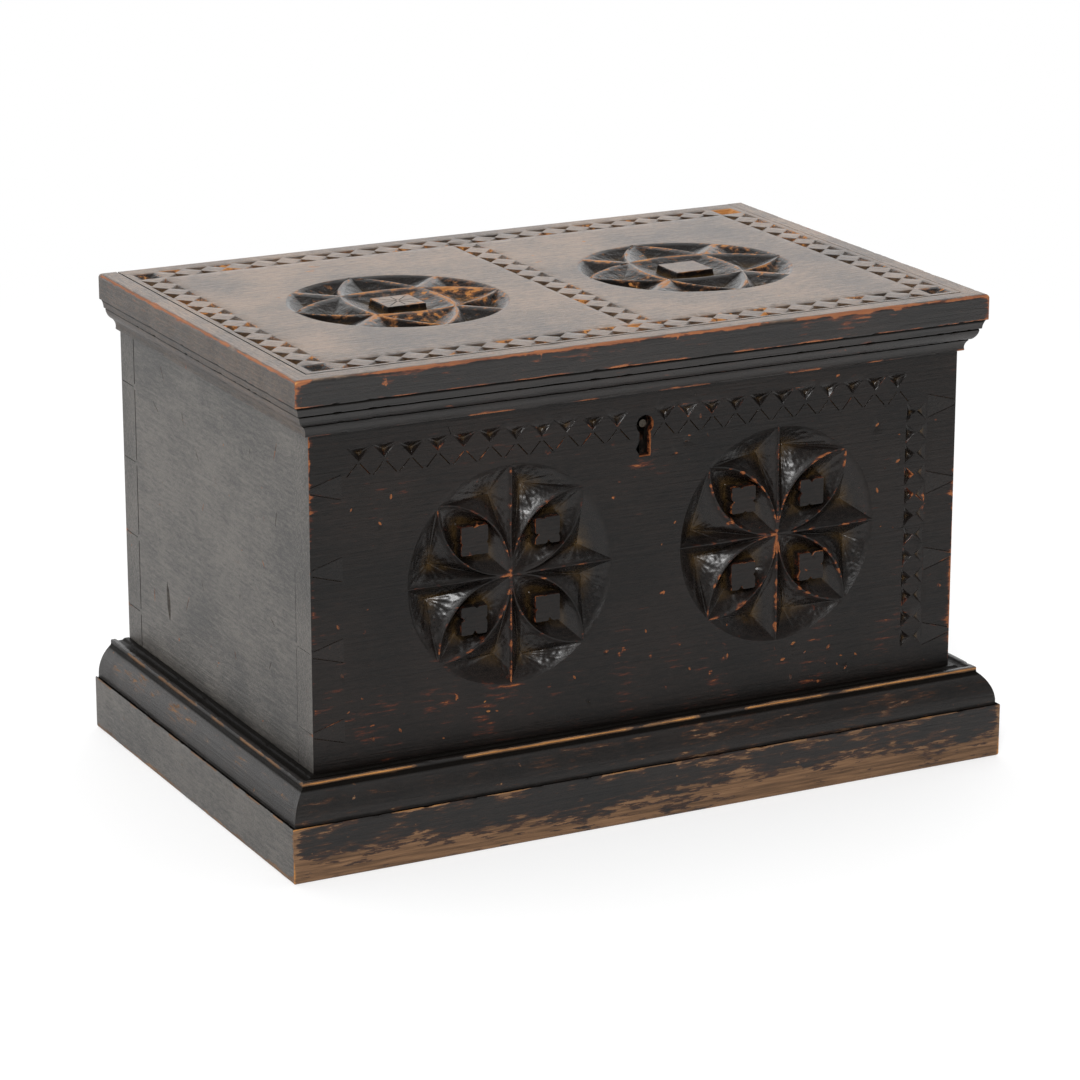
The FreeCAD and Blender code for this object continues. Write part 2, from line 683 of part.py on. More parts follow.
# Lid staple: a let-in plate with a loop below it for the bolt
staple_screw_places = ("staple_offset - staple_plate_length / 3", "staple_offset + staple_plate_length / 3")
staple_screws, staple_screw_holes = screws(
    "staple", [(x, STAPLE_MIDDLE, "rim_height") for x in staple_screw_places], UP
)
node("staple_screws", group("staple_screw_set", staple_screws))
plate_front = "%s - staple_plate_width / 2" % STAPLE_MIDDLE
staple_low = ("staple_offset - staple_plate_length / 2", plate_front, "rim_height")
staple_size = ("staple_plate_length", "staple_plate_width", "staple_plate_thickness")
LOOP_LEFT = "(staple_offset - staple_width / 2)"
LOOP_FRONT = "(%s - %s / 2)" % (STAPLE_MIDDLE, STAPLE_OUTER)
EYE_BOTTOM = "(%s - bolt_clearance)" % BOLT_BOTTOM
EYE_HEIGHT = "(rim_height - %s)" % EYE_BOTTOM
loop_blank = block(
    "staple_loop_blank", (LOOP_LEFT, LOOP_FRONT, "%s - staple_toe" % EYE_BOTTOM),
    ("staple_width", STAPLE_OUTER, "%s + staple_toe" % EYE_HEIGHT),
)
eye = block(
    "staple_eye", (LOOP_LEFT, "%s + staple_wall" % LOOP_FRONT, EYE_BOTTOM),
    ("staple_width", "%s - 2 * staple_wall" % STAPLE_OUTER, EYE_HEIGHT),
)
staple_blank = fuse("staple_blank", [block("staple_plate", staple_low, staple_size), loop_blank])
node("lock_staple", cut("staple_cut", staple_blank, [eye] + staple_screw_holes))


# Hinges: two leaves with five knuckles between them, on a pin behind the back board
def hinge(name, middle):
    """The leaves, pin, screws and let-in recesses of one butt hinge."""
    pieces = {}
    low_x = "%s - hinge_length / 2" % middle
    leaf_back = "%s - hinge_leaf_width" % BACK
    axis = (HINGE_AXIS, "rim_height")
    bore_radius = "hinge_pin_radius + hinge_running_gap"
    bore = rod(name + "_bore", bore_radius, "hinge_length", (low_x,) + axis, RIGHT)
    pieces["pin"] = rod(name + "_pin", "hinge_pin_radius", "hinge_length", (low_x,) + axis, RIGHT)
    leaves = {
        "box": ("rim_height - hinge_leaf_thickness", (0, 2, 4), -UP),
        "lid": ("rim_height", (1, 3), UP),
    }
    for leaf, (low_z, turns, into) in leaves.items():
        tag = "%s_%s" % (name, leaf)
        plate_low = (low_x, leaf_back, low_z)
        plate_size = ("hinge_length", "hinge_leaf_width", "hinge_leaf_thickness")
        width = "hinge_length / 5 - hinge_end_gap"
        neck_size = (width, "hinge_setback", "hinge_leaf_thickness")
        parts = [block(tag + "_leaf", plate_low, plate_size)]
        for turn in turns:
            start = "%s + hinge_length / 5 * %d + hinge_end_gap / 2" % (low_x, turn)
            knuckle = "%s_knuckle_%d" % (tag, turn)
            parts.append(rod(knuckle, "hinge_knuckle_radius", width, (start,) + axis, RIGHT))
            parts.append(block(knuckle + "_neck", (start, BACK, low_z), neck_size))
        heads = [
            ("%s + screw_spacing * %d" % (middle, place), "%s - hinge_leaf_width / 2" % BACK, "rim_height")
            for place in (-1, 0, 1)
        ]
        pieces[leaf + "_screws"], holes = screws(tag, heads, into)
        pieces[leaf + "_leaf"] = cut(tag + "_cut", fuse(tag + "_blank", parts), [bore] + holes)
        recess = block(tag + "_recess", plate_low, plate_size)
        pieces[leaf + "_recess"] = fuse(tag + "_mortise", [recess] + holes)
    return pieces


hinges = {"left": hinge("hinge_left", "-" + HINGE_MIDDLE), "right": hinge("hinge_right", HINGE_MIDDLE)}
for side, pieces in hinges.items():
    node("hinge_box_leaf_" + side, pieces["box_leaf"])
    node("hinge_lid_leaf_" + side, pieces["lid_leaf"])
    node("hinge_pin_" + side, pieces["pin"])
for leaf in ("box", "lid"):
    leaf_screws = sum((pieces[leaf + "_screws"] for pieces in hinges.values()), [])
    node("hinge_%s_screws" % leaf, group("hinge_%s_screw_set" % leaf, leaf_screws))

# Boards of the box
long_board = ("box_width", "board_thickness", CARCASS_HEIGHT)
front_blank = block("front_blank", ("-%s" % SIDE, FRONT, CARCASS_BOTTOM), long_board)
front_jointed = cut("front_jointed", front_blank, pins[-1, "front"] + pins[1, "front"])
case_room = block(
    "case_room", case_low,
    ("lock_case_width", "lock_case_depth + lock_plate_thickness", "%s + lock_plate_thickness" % CASE_HEIGHT),
)
front_keyhole = keyhole("front_keyhole", FRONT, "board_thickness")
lock_room = fuse("lock_room", [case_room, front_keyhole] + lock_plates("plate_room") + lock_screw_holes)
front_fitted = cut("front_fitted", front_jointed, [lock_room] + bottom_rows["front"][1])
node("front_board", cut("front_carved", front_fitted, front_cutters))

back_blank = block("back_blank", ("-%s" % SIDE, BACK_PINS, CARCASS_BOTTOM), long_board)
back_jointed = cut("back_jointed", back_blank, pins[-1, "back"] + pins[1, "back"])
node("back_board", cut(
    "back_fitted", back_jointed, [h["box_recess"] for h in hinges.values()] + bottom_rows["back"][1]
))

for side, sign, low_x in (("left", -1, "-%s" % SIDE), ("right", 1, "(%s - board_thickness)" % SIDE)):
    end_blank = block(
        side + "_end_blank", (low_x, INNER, CARCASS_BOTTOM),
        ("board_thickness", "box_depth - 2 * board_thickness", CARCASS_HEIGHT),
    )
    end_jointed = fuse(side + "_end_jointed", [end_blank] + pins[sign, "front"] + pins[sign, "back"])
    node(side + "_end_board", cut(side + "_end_fitted", end_jointed, bottom_rows[side][1]))

bottom_blank = block(
    "bottom_blank", ("-%s" % SIDE, FRONT, "bottom_lift"), ("box_width", "box_depth", "bottom_thickness")
)
bottom_holes = sum((row[1] for row in list(bottom_rows.values()) + list(base_rows.values())), [])
node("bottom_board", cut("bottom_drilled", bottom_blank, bottom_holes))

# Base moulding: a plain fascia, a quirk, a wide ovolo and a fillet
OVOLO_FOOT = "(base_projection - base_quirk)"
OVOLO_HEAD = "(%s - base_ovolo_width)" % OVOLO_FOOT
base_profile = [
    ("0", "0"),
    ("base_arris - base_projection", "0", "base_arris", 1),
    ("-base_projection", "base_arris"),
    ("-base_projection", "base_fascia"),
    ("-%s" % OVOLO_FOOT, "base_fascia", "base_ovolo_radius", 1),
    ("-%s" % OVOLO_HEAD, "base_height - base_fillet"),
    ("-%s" % OVOLO_HEAD, "base_height"),
    ("0", "base_height"),
]
base_lengths = around("base_moulding", base_profile, "base_projection", "box_width", "box_depth", "0")
for side, length in base_lengths.items():
    node("base_moulding_" + side, cut("base_drilled_" + side, length, base_rows[side][1]))

# Lid moulding: a rounded fascia, a cove, a quirk, an ovolo and a small foot
FASCIA_BOTTOM = "(lid_moulding_height - lid_fascia)"
COVE_BOTTOM = "(%s - lid_cove_height)" % FASCIA_BOTTOM
COVE_IN = "(lid_moulding_width - lid_cove_width)"
QUIRK_IN = "(%s - lid_quirk)" % COVE_IN
OVOLO_IN = "(%s - lid_ovolo_width)" % QUIRK_IN
OVOLO_BOTTOM = "(%s - lid_ovolo_height)" % COVE_BOTTOM
lid_profile = [
    ("0", "0"),
    ("-lid_foot_width", "0", "lid_foot_radius", -1),
    ("lid_step - %s" % OVOLO_IN, OVOLO_BOTTOM),
    ("-%s" % OVOLO_IN, OVOLO_BOTTOM, "lid_ovolo_radius", 1),
    ("-%s" % QUIRK_IN, COVE_BOTTOM),
    ("-%s" % COVE_IN, COVE_BOTTOM, "lid_cove_radius", -1),
    ("-lid_moulding_width", FASCIA_BOTTOM),
    ("-lid_moulding_width", "lid_moulding_height - lid_arris", "lid_arris", 1),
    ("lid_arris - lid_moulding_width", "lid_moulding_height"),
    ("0", "lid_moulding_height"),
]
LID_WIDTH = "(box_width + 2 * lid_clearance)"
LID_DEPTH = "(box_depth + lid_clearance)"
LID_FOOT = "(%s - lid_moulding_height)" % LID_TOP
lid_lengths = around("lid_moulding", lid_profile, "lid_moulding_width", LID_WIDTH, LID_DEPTH, LID_FOOT)
for side, length in lid_lengths.items():
    node("lid_moulding_" + side, cut("lid_drilled_" + side, length, lid_rows[side][1]))

# Lid board
lid_blank = block(
    "lid_blank", ("-%s / 2" % LID_WIDTH, "%s - %s" % (BACK, LID_DEPTH), "rim_height"),
    (LID_WIDTH, LID_DEPTH, "lid_thickness"),
)
staple_room = fuse("staple_room", [block("staple_recess", staple_low, staple_size)] + staple_screw_holes)
lid_holes = sum((row[1] for row in lid_rows.values()), [])
lid_fitted = cut(
    "lid_fitted", lid_blank, [staple_room] + [h["lid_recess"] for h in hinges.values()] + lid_holes
)
node("lid_board", cut("lid_carved", lid_fitted, lid_cutters))

# Check every object, then write each sub-part
doc.recompute()
for thing in doc.Objects:
    if "Invalid" in thing.State or "Error" in thing.State:
        raise SystemExit("%s failed: %s" % (thing.Name, thing.State))
for label, thing in nodes.items():
    if thing.Shape.isNull() or not thing.Shape.isValid():
        raise SystemExit("%s has no valid shape" % label)
os.makedirs("parts", exist_ok=True)
for label, thing in nodes.items():
    thing.Shape.exportStep(os.path.join("parts", label + ".step"))
    print("%-24s %2d solids %10.0f mm3" % (label, len(thing.Shape.Solids), thing.Shape.Volume))
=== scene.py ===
# %% [markdown]
# # A chip-carved keepsake box
# The real object is a small dovetailed box in pine, stained black and varnished, with rosettes cut into
# the front and the lid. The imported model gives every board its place. This lesson adds what a plain solid
# lacks: the carver's cuts, the worn arrises of the mouldings, and the old finish on the wood and the
# iron.

# %% Load the frame
import json
import math

import bmesh
import bpy
import numpy as np
from mathutils import Matrix, Vector, geometry


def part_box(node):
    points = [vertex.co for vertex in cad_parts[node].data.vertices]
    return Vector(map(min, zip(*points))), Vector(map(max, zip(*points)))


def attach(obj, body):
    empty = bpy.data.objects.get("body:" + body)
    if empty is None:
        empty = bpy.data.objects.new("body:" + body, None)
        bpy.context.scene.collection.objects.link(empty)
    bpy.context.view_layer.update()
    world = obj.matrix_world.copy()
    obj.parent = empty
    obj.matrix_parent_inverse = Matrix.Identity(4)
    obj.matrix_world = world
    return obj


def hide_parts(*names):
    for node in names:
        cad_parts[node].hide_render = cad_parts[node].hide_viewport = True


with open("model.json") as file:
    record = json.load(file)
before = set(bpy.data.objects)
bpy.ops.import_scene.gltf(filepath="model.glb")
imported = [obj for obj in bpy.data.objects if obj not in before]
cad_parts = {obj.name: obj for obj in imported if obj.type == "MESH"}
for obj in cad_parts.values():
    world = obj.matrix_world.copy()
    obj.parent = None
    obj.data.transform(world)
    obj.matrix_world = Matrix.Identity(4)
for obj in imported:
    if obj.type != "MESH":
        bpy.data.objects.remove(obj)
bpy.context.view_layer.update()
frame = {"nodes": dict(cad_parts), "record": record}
MM = 0.001
rng = np.random.default_rng(7)


def board_box(node):
    """The lowest and highest corner of a node, in millimetres."""
    return [np.array(corner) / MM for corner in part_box(node)]


front_low, front_high = board_box("front_board")
back_low, back_high = board_box("back_board")
lid_low, lid_high = board_box("lid_board")
print("frame:", len(frame["nodes"]), "nodes, lid", np.round(lid_high - lid_low, 1), "mm")

# %% [markdown]
# ## Camera
# The photograph was taken from the left and a little above with a long lens. A camera fitted to the box's
# corners gives the eye point and the two angles, so the picture needs no shift.

# %% Camera
EYE = (-1.0500, -2.0350, 0.8149)
AZIMUTH = -27.283
ELEVATION = 16.798
LENS = 136.2
SENSOR = 36.0

azimuth, elevation = math.radians(AZIMUTH), math.radians(ELEVATION)
camera_data = bpy.data.cameras.new("camera")
camera_data.lens = LENS
camera_data.sensor_width = SENSOR
camera = bpy.data.objects.new("camera", camera_data)
turn = Matrix.Rotation(azimuth, 4, "Z") @ Matrix.Rotation(math.pi / 2 - elevation, 4, "X")
camera.matrix_world = Matrix.Translation(EYE) @ turn
bpy.context.collection.objects.link(camera)
bpy.context.scene.camera = camera
print("camera at", EYE, "lens", LENS)

# %% [markdown]
# ## Colours and nodes
# A hex colour is what a picture editor shows, and the renderer works in linear light, so one function
# turns the first into the second. Another adds a node: plain values are set on its sockets, a hex colour
# is turned first, and sockets are linked.


# %% Colour and node helpers
def linear(hex_colour):
    """A hex colour in linear light: c / 12.92 where dark, else ((c + 0.055) / 1.055) to the power 2.4."""
    channels = np.array([int(hex_colour[place:place + 2], 16) for place in (1, 3, 5)]) / 255
    light = np.where(channels <= 0.04045, channels / 12.92, ((channels + 0.055) / 1.055) ** 2.4)
    return (*light.tolist(), 1.0)


def feed(tree, node, inputs):
    """Sets or links each of a node's inputs, with a hex colour turned to linear light."""
    for key, entry in inputs.items():
        if isinstance(entry, bpy.types.NodeSocket):
            tree.links.new(entry, node.inputs[key])
        else:
            node.inputs[key].default_value = linear(entry) if isinstance(entry, str) else entry


def add(tree, kind, inputs, shown=0, **settings):
    """Adds a node with its settings and inputs, and gives back one of its outputs."""
    made = tree.nodes.new(kind)
    for name, setting in settings.items():
        setattr(made, name, setting)
    feed(tree, made, inputs)
    return made.outputs[shown]


def new_material(name):
    """An empty material: its node tree and the shader at its end."""
    material = bpy.data.materials.new(name)
    material.use_nodes = True
    tree = material.node_tree
    tree.nodes.clear()
    shader = tree.nodes.new("ShaderNodeBsdfPrincipled")
    feed(tree, tree.nodes.new("ShaderNodeOutputMaterial"), {"Surface": shader.outputs[0]})
    return material, tree, shader


# %% [markdown]
# ## Light
# The box stands on a white paper sweep. Black varnish shows little of its own colour: the lid looks grey
# because it mirrors the bright sweep at a flat angle, and the front looks black because it mirrors dim
# space. So the world is white behind and dim in front. A wide lamp overhead gives the light, two panels
# behind the box give the lid and the left end their sheen, and a small soft box above the camera puts the
# glints into the cuts.

# %% Light
WORLD_DIM = 0.2
WORLD_WHITE = 1.0
SWEEP_DIRECTION = (0.15, 0.95, -0.25)
SWEEP_EDGES = (-0.4, 0.3)
AIM = (0.0, 0.0, 0.14)
# Place in metres, size in metres, radiance
LAMPS = {
    "overhead": ((0.3, 0.1, 2.4), 2.0, 1.75),
    "back_panel": ((1.32, 2.55, 0.95), 2.4, 1.4),
    "left_panel": ((-1.5, 2.3, 0.8), 1.6, 2.0),
    "soft_box": ((-1.15, -2.1, 1.85), 0.62, 46.0),
}

scene = bpy.context.scene
scene.view_settings.view_transform = "Standard"
world = bpy.data.worlds.new("studio")
world.use_nodes = True
scene.world = world
tree = world.node_tree
tree.nodes.clear()
direction = add(tree, "ShaderNodeTexCoord", {}, "Generated")
facing = add(
    tree, "ShaderNodeVectorMath", {0: direction, 1: SWEEP_DIRECTION}, "Value", operation="DOT_PRODUCT")
level = add(tree, "ShaderNodeMapRange", {
    "Value": facing, "From Min": SWEEP_EDGES[0], "From Max": SWEEP_EDGES[1],
    "To Min": WORLD_DIM, "To Max": WORLD_WHITE,
})
sight = add(tree, "ShaderNodeLightPath", {}, "Is Camera Ray")
seen = add(tree, "ShaderNodeMath", {0: level, 1: sight}, operation="MAXIMUM")
background = add(tree, "ShaderNodeBackground", {"Color": "#ffffff", "Strength": seen})
feed(tree, tree.nodes.new("ShaderNodeOutputWorld"), {"Surface": background})

for name, (place, size, radiance) in LAMPS.items():
    lamp_data = bpy.data.lights.new(name, "AREA")
    lamp_data.shape = "SQUARE"
    lamp_data.size = size
    # A flat lamp of area A and radiance L gives off pi A L watts
    lamp_data.energy = math.pi * size**2 * radiance
    lamp = bpy.data.objects.new(name, lamp_data)
    lamp.location = place
    lamp.rotation_euler = (Vector(AIM) - Vector(place)).to_track_quat("-Z", "Y").to_euler()
    lamp.visible_camera = False
    bpy.context.collection.objects.link(lamp)
print("light: world", WORLD_DIM, "to", WORLD_WHITE, "and", ", ".join(LAMPS))

# %% [markdown]
# ## Floor
# The paper is matt and white. Near the box it keeps the soft shadow, and further off it fades into the
# white of the backdrop, so no horizon shows.

# %% Floor
FLOOR_HALF = 12.0
FADE_START = 0.45
FADE_STOP = 1.3
NEAR_GLOW = 0.59
PAPER_WHITE, PAPER_SEEN = "#f7f6f5", "#a9a9a9"
PAPER_ROUGH = 0.95

floor_mesh = bpy.data.meshes.new("floor")
floor_corners = np.array([(-1, -1, 0), (1, -1, 0), (1, 1, 0), (-1, 1, 0)]) * FLOOR_HALF
floor_mesh.from_pydata(floor_corners.tolist(), [], [(0, 1, 2, 3)])
floor = bpy.data.objects.new("floor", floor_mesh)
bpy.context.collection.objects.link(floor)
# Matt white paper: no gloss, so it only takes the box's shadow
paper, tree, shader = new_material("matt_white_paper")
coords = add(tree, "ShaderNodeTexCoord", {}, "Object")
reach = add(tree, "ShaderNodeVectorMath", {0: coords}, "Value", operation="LENGTH")
far = add(tree, "ShaderNodeMapRange", {
    "Value": reach, "From Min": FADE_START, "From Max": FADE_STOP}, interpolation_type="SMOOTHSTEP")
path = add(tree, "ShaderNodeLightPath", {}).node.outputs
sight = path["Is Camera Ray"]
for ray in ("Is Glossy Ray", "Is Transmission Ray"):
    sight = add(tree, "ShaderNodeMath", {0: sight, 1: path[ray]}, operation="MAXIMUM")
shaded = add(tree, "ShaderNodeMix", {"Factor": far, 6: PAPER_SEEN, 7: "#000000"}, 2, data_type="RGBA")
colour = add(tree, "ShaderNodeMix", {"Factor": sight, 6: PAPER_WHITE, 7: shaded}, 2, data_type="RGBA")
glow = add(tree, "ShaderNodeMapRange", {"Value": far, "To Min": NEAR_GLOW, "To Max": 1.0})
shown_glow = add(tree, "ShaderNodeMath", {0: glow, 1: sight}, operation="MULTIPLY")
feed(tree, shader, {
    "Base Color": colour, "Emission Color": "#ffffff", "Emission Strength": shown_glow,
    "Roughness": PAPER_ROUGH, "Specular IOR Level": 0.0,
})
floor_mesh.materials.append(paper)
print("floor:", 2 * FLOOR_HALF, "m of paper")

# %% [markdown]
# ## Old varnish on pine
# The box was stained black and varnished. Hands have worn the finish through along ridges and arrises,
# first to a red-brown film and then to bare wood, and dirt has settled at the bottom of the cuts. The
# nooks of the mouldings, and just below them, are painted near black as dust and painted shade. Each
# mesh carries numbers at its corners: how rubbed, how sunk in a cut, how dark with dust and painted shade,
# and how much lighter its stain is, partly for a faded, dusty finish and partly as painted sheen. The
# shader adds flakes drawn out along the grain, slow patches and small nicks to the first, and the finish
# breaks where the sum is high.

# %% Varnished wood
# Sizes of the patterns in millimetres: across and along the grain, or one size where it is plain noise
GRAIN, FLAKE, DASH = (1.6, 45.0), (2.2, 13.0), (1.2, 5.0)
LUMP, SWELL = (5.0, 5.0), (9.0, 9.0)
PATCH, NICK, CRUST = 60.0, 8.0, 0.9
FILM = 0.3
BLACK_STAIN = ("#0d0b0a", "#1d1714")
FRESH_WOOD = ("#94602f", "#c98f4e")
BARE_WOOD = ("#65482c", "#96734b")
# Dirt in the cuts, and a near-black nook colour that is dust and painted shade
DIRT, NOOK_DIRT_AND_SHADE = "#4c3a20", "#0c0a08"
# From where to where the sum of wear thins the film, breaks it and bares fresh wood
THIN, BROKEN, FRESH = (1.35, 1.7), (1.64, 1.74), (1.5, 1.8)
# From where to where a cut turns glossy and dirty, the stain turns lighter, and a nick shows
GLOSSY, DIRTY, LIGHTER, NICKED = (0.0, 0.2), (0.45, 1.0), (0.65, 1.35), (0.68, 0.74)
NICK_WEAR, DEEP_WEAR = 0.6, 0.4
FLAKE_TONE, FIBRE_TONE, DASH_TONE = 0.25, 0.25, 0.5
BLACK_ROUGH, PALE_ROUGH, CUT_ROUGH, BARE_ROUGH, CRUST_ROUGH = 0.34, 0.42, 0.2, 0.72, 0.16
PALE_SHINE = 0.5
# Heights of the film, the crust and the swells beside the ribs of the grain, which are one film high
FILM_STEP, CRUST_STEP, SWELL_STEP = 0.6, 1.2, 2.6
VARNISH_RELIEF, VARNISH_IOR = 0.55, 1.5
STREAK_ROUGH, STREAK_RANGE = 0.62, (0.27, 0.73)


def streaks(tree, coords, grain, width, length, detail=5.0):
    """Noise drawn out along the grain, from nought to one, in cells a width across and a length along."""
    stretch = [1.0, 1.0, 1.0]
    stretch["XYZ".index(grain)] = width / length
    along = add(tree, "ShaderNodeMapping", {"Vector": coords, "Scale": stretch})
    cells = add(tree, "ShaderNodeTexNoise", {
        "Vector": along, "Scale": 1 / (width * MM), "Detail": detail, "Roughness": STREAK_ROUGH})
    low, high = STREAK_RANGE
    return add(tree, "ShaderNodeMapRange", {"Value": cells, "From Min": low, "From Max": high})


def within(tree, coords, low, high):
    """One inside a box given by two corners in mm, else nought: the product of three comparisons."""
    place = add(tree, "ShaderNodeSeparateXYZ", {0: coords}).node.outputs
    inside = 1.0
    for axis in range(3):
        middle, half = (low[axis] + high[axis]) / 2 * MM, (high[axis] - low[axis]) / 2 * MM
        held = add(tree, "ShaderNodeMath", {0: place[axis], 1: middle, 2: half}, operation="COMPARE")
        inside = add(tree, "ShaderNodeMath", {0: inside, 1: held}, operation="MULTIPLY")
    return inside


def varnished_wood(name, grain, pale, film, aged, shine, cut_shine=0.3, bare=None):
    """Stained and varnished pine: two colours where the stain is lighter, partly faded and partly painted
    sheen, one of the worn film, two of aged wood.

    Worn = flakes + rubbed + patches + nicks, and in a cut the flakes are round. Bare is a box, by two
    corners, where the wood was never finished.
    """
    material, tree, shader = new_material(name)
    coords = add(tree, "ShaderNodeTexCoord", {}, "Object")
    fibres, flakes, lumps, dashes = (
        streaks(tree, coords, grain, *size) for size in (GRAIN, FLAKE, LUMP, DASH))
    swells = streaks(tree, coords, grain, *SWELL, 2.0)
    patches, nicks, crust = (
        add(tree, "ShaderNodeTexNoise", {"Vector": coords, "Scale": 1 / (size * MM), "Detail": 4.0})
        for size in (PATCH, NICK, CRUST))
    rubbed, sunk, paled, dusty = (
        add(tree, "ShaderNodeAttribute", {}, "Fac", attribute_name=key)
        for key in ("rubbed", "sunk", "pale", "dusty"))
    glossy, dirty = (
        add(tree, "ShaderNodeMapRange", {"Value": sunk, "From Min": low, "From Max": high},
            interpolation_type="SMOOTHSTEP")
        for low, high in (GLOSSY, DIRTY))
    chips = add(tree, "ShaderNodeMix", {"Factor": glossy, 2: flakes, 3: lumps})
    worn = add(tree, "ShaderNodeMapRange", {
        "Value": nicks, "From Min": NICKED[0], "From Max": NICKED[1], "To Max": NICK_WEAR})
    for part in (chips, rubbed, patches):
        worn = add(tree, "ShaderNodeMath", {0: worn, 1: part})
    deep_worn = add(tree, "ShaderNodeMath", {0: chips, 1: DEEP_WEAR, 2: rubbed}, operation="MULTIPLY_ADD")
    mottled = patches
    for part, amount in ((flakes, FLAKE_TONE), (fibres, FIBRE_TONE), (dashes, DASH_TONE)):
        mottled = add(tree, "ShaderNodeMath", {0: part, 1: amount, 2: mottled}, operation="MULTIPLY_ADD")
    thin, broken, fresh, tone = (
        add(tree, "ShaderNodeMapRange", {"Value": entry, "From Min": low, "From Max": high},
            interpolation_type="SMOOTHSTEP")
        for entry, (low, high) in ((worn, THIN), (worn, BROKEN), (deep_worn, FRESH), (mottled, LIGHTER)))
    dirt = add(tree, "ShaderNodeMath", {0: dirty, 1: lumps}, operation="MULTIPLY")
    inside = within(tree, coords, *bare) if bare else 0.0

    black_stain, paled_stain, aged_wood, fresh_wood, bare_wood = (
        add(tree, "ShaderNodeMix", {"Factor": share, 6: dark, 7: light}, 2, data_type="RGBA")
        for share, (dark, light) in (
            (tone, BLACK_STAIN), (tone, pale), (fibres, aged), (fibres, FRESH_WOOD), (fibres, BARE_WOOD)))
    wood = add(tree, "ShaderNodeMix", {"Factor": fresh, 6: aged_wood, 7: fresh_wood}, 2, data_type="RGBA")
    # Each layer covers those before it by its share. The lighter stain is partly painted sheen, and the
    # nook colour is dust and painted shade
    colour = black_stain
    for share, over in (
        (paled, paled_stain), (thin, film), (broken, wood), (dirt, DIRT), (dusty, NOOK_DIRT_AND_SHADE),
        (inside, bare_wood),
    ):
        colour = add(tree, "ShaderNodeMix", {"Factor": share, 6: colour, 7: over}, 2, data_type="RGBA")

    rough, gloss = BLACK_ROUGH, shine
    for share, dull, bright in ((paled, PALE_ROUGH, PALE_SHINE), (glossy, CUT_ROUGH, cut_shine)):
        rough = add(tree, "ShaderNodeMix", {"Factor": share, 2: rough, 3: dull})
        gloss = add(tree, "ShaderNodeMix", {"Factor": share, 2: gloss, 3: bright})
    rough = add(tree, "ShaderNodeMath", {0: crust, 1: CRUST_ROUGH, 2: rough}, operation="MULTIPLY_ADD")
    matt = add(tree, "ShaderNodeMath", {0: broken, 1: inside}, operation="MAXIMUM")
    rough = add(tree, "ShaderNodeMix", {"Factor": matt, 2: rough, 3: BARE_ROUGH})
    gloss = add(tree, "ShaderNodeMix", {"Factor": dusty, 2: gloss, 3: 0.0})
    # The film stands a little above bare wood, with the ribs of the grain and a fine crust; cuts only swell
    relief = fibres
    for part, rise in ((broken, -FILM_STEP), (crust, CRUST_STEP)):
        relief = add(tree, "ShaderNodeMath", {0: part, 1: rise, 2: relief}, operation="MULTIPLY_ADD")
    swollen = add(tree, "ShaderNodeMath", {0: swells, 1: SWELL_STEP}, operation="MULTIPLY")
    relief = add(tree, "ShaderNodeMix", {"Factor": glossy, 2: relief, 3: swollen})
    bump = add(tree, "ShaderNodeBump", {
        "Height": relief, "Strength": VARNISH_RELIEF, "Distance": FILM * MM})
    feed(tree, shader, {
        "Base Color": colour, "Roughness": rough, "IOR": VARNISH_IOR, "Specular IOR Level": gloss,
        "Normal": bump,
    })
    return material


END_THICKNESS = front_high[1] - front_low[1]
SLACK = 0.4
box_inside = (
    np.array([front_low[0] + END_THICKNESS, front_high[1], 0.0]) - SLACK,
    np.array([front_high[0] - END_THICKNESS, back_low[1], lid_low[2]]) + SLACK,
)
lid_under = (lid_low - SLACK, np.array([lid_high[0], lid_high[1], lid_low[2]]) + SLACK)
# Lighter stains for the ends, the lid and the mouldings' sides and tops: partly a faded, dusty finish and
# partly painted sheen
GREY_STAIN_AND_SHEEN = ("#262320", "#57524c")
BROWN_STAIN_AND_SHEEN = ("#30241c", "#745c46")
RED_WOOD = ("#65371f", "#9c5f34")
TAN_WOOD = ("#7d4a22", "#b47f49")
BROWN_WOOD = ("#3b291a", "#8a684a")
# The grain's direction, lighter stain (partly painted sheen), thin film, aged wood, shine, shine in the cuts
# and unfinished inside
FINISHES = {
    # Front and back: near black with a dull gleam, red-brown where hands have thinned the film
    "blackened_pine": ("X", GREY_STAIN_AND_SHEEN, "#482214", RED_WOOD, 0.27, 0.32, box_inside),
    # Ends: the same stain, grey partly as a duller, dusty finish and partly as painted sheen, and matt
    "blackened_pine_ends": ("Y", GREY_STAIN_AND_SHEEN, "#3d2a20", RED_WOOD, 0.32, 0.32, box_inside),
    # Lid: a milky brown, lighter partly as painted sheen, that mirrors the backdrop, with dull cuts worn to
    # tan wood
    "brown_varnished_pine": ("X", BROWN_STAIN_AND_SHEEN, "#5e3d25", TAN_WOOD, 0.32, 0.05, lid_under),
    # The lid's lip: glossier at the front, and worn to red along its arrises
    "blackened_pine_lip": ("X", BROWN_STAIN_AND_SHEEN, "#57280f", RED_WOOD, 0.6),
    "blackened_pine_lip_sides": ("Y", BROWN_STAIN_AND_SHEEN, "#57280f", RED_WOOD, 0.3),
    # Base: scuffed through to brown wood in long streaks
    "worn_pine_base": ("X", GREY_STAIN_AND_SHEEN, "#3c2415", BROWN_WOOD, 0.4),
    "worn_pine_base_sides": ("Y", GREY_STAIN_AND_SHEEN, "#3c2a1c", BROWN_WOOD, 0.22),
}
finishes = {name: varnished_wood(name, *recipe) for name, recipe in FINISHES.items()}
print("finishes:", ", ".join(finishes))

# %% [markdown]
# ## Outlines
# The carver laid everything out with a compass and a straight edge, so the outlines here are made the
# same way: runs of straight lines and compass arcs, each a small array of points, joined into closed
# loops.


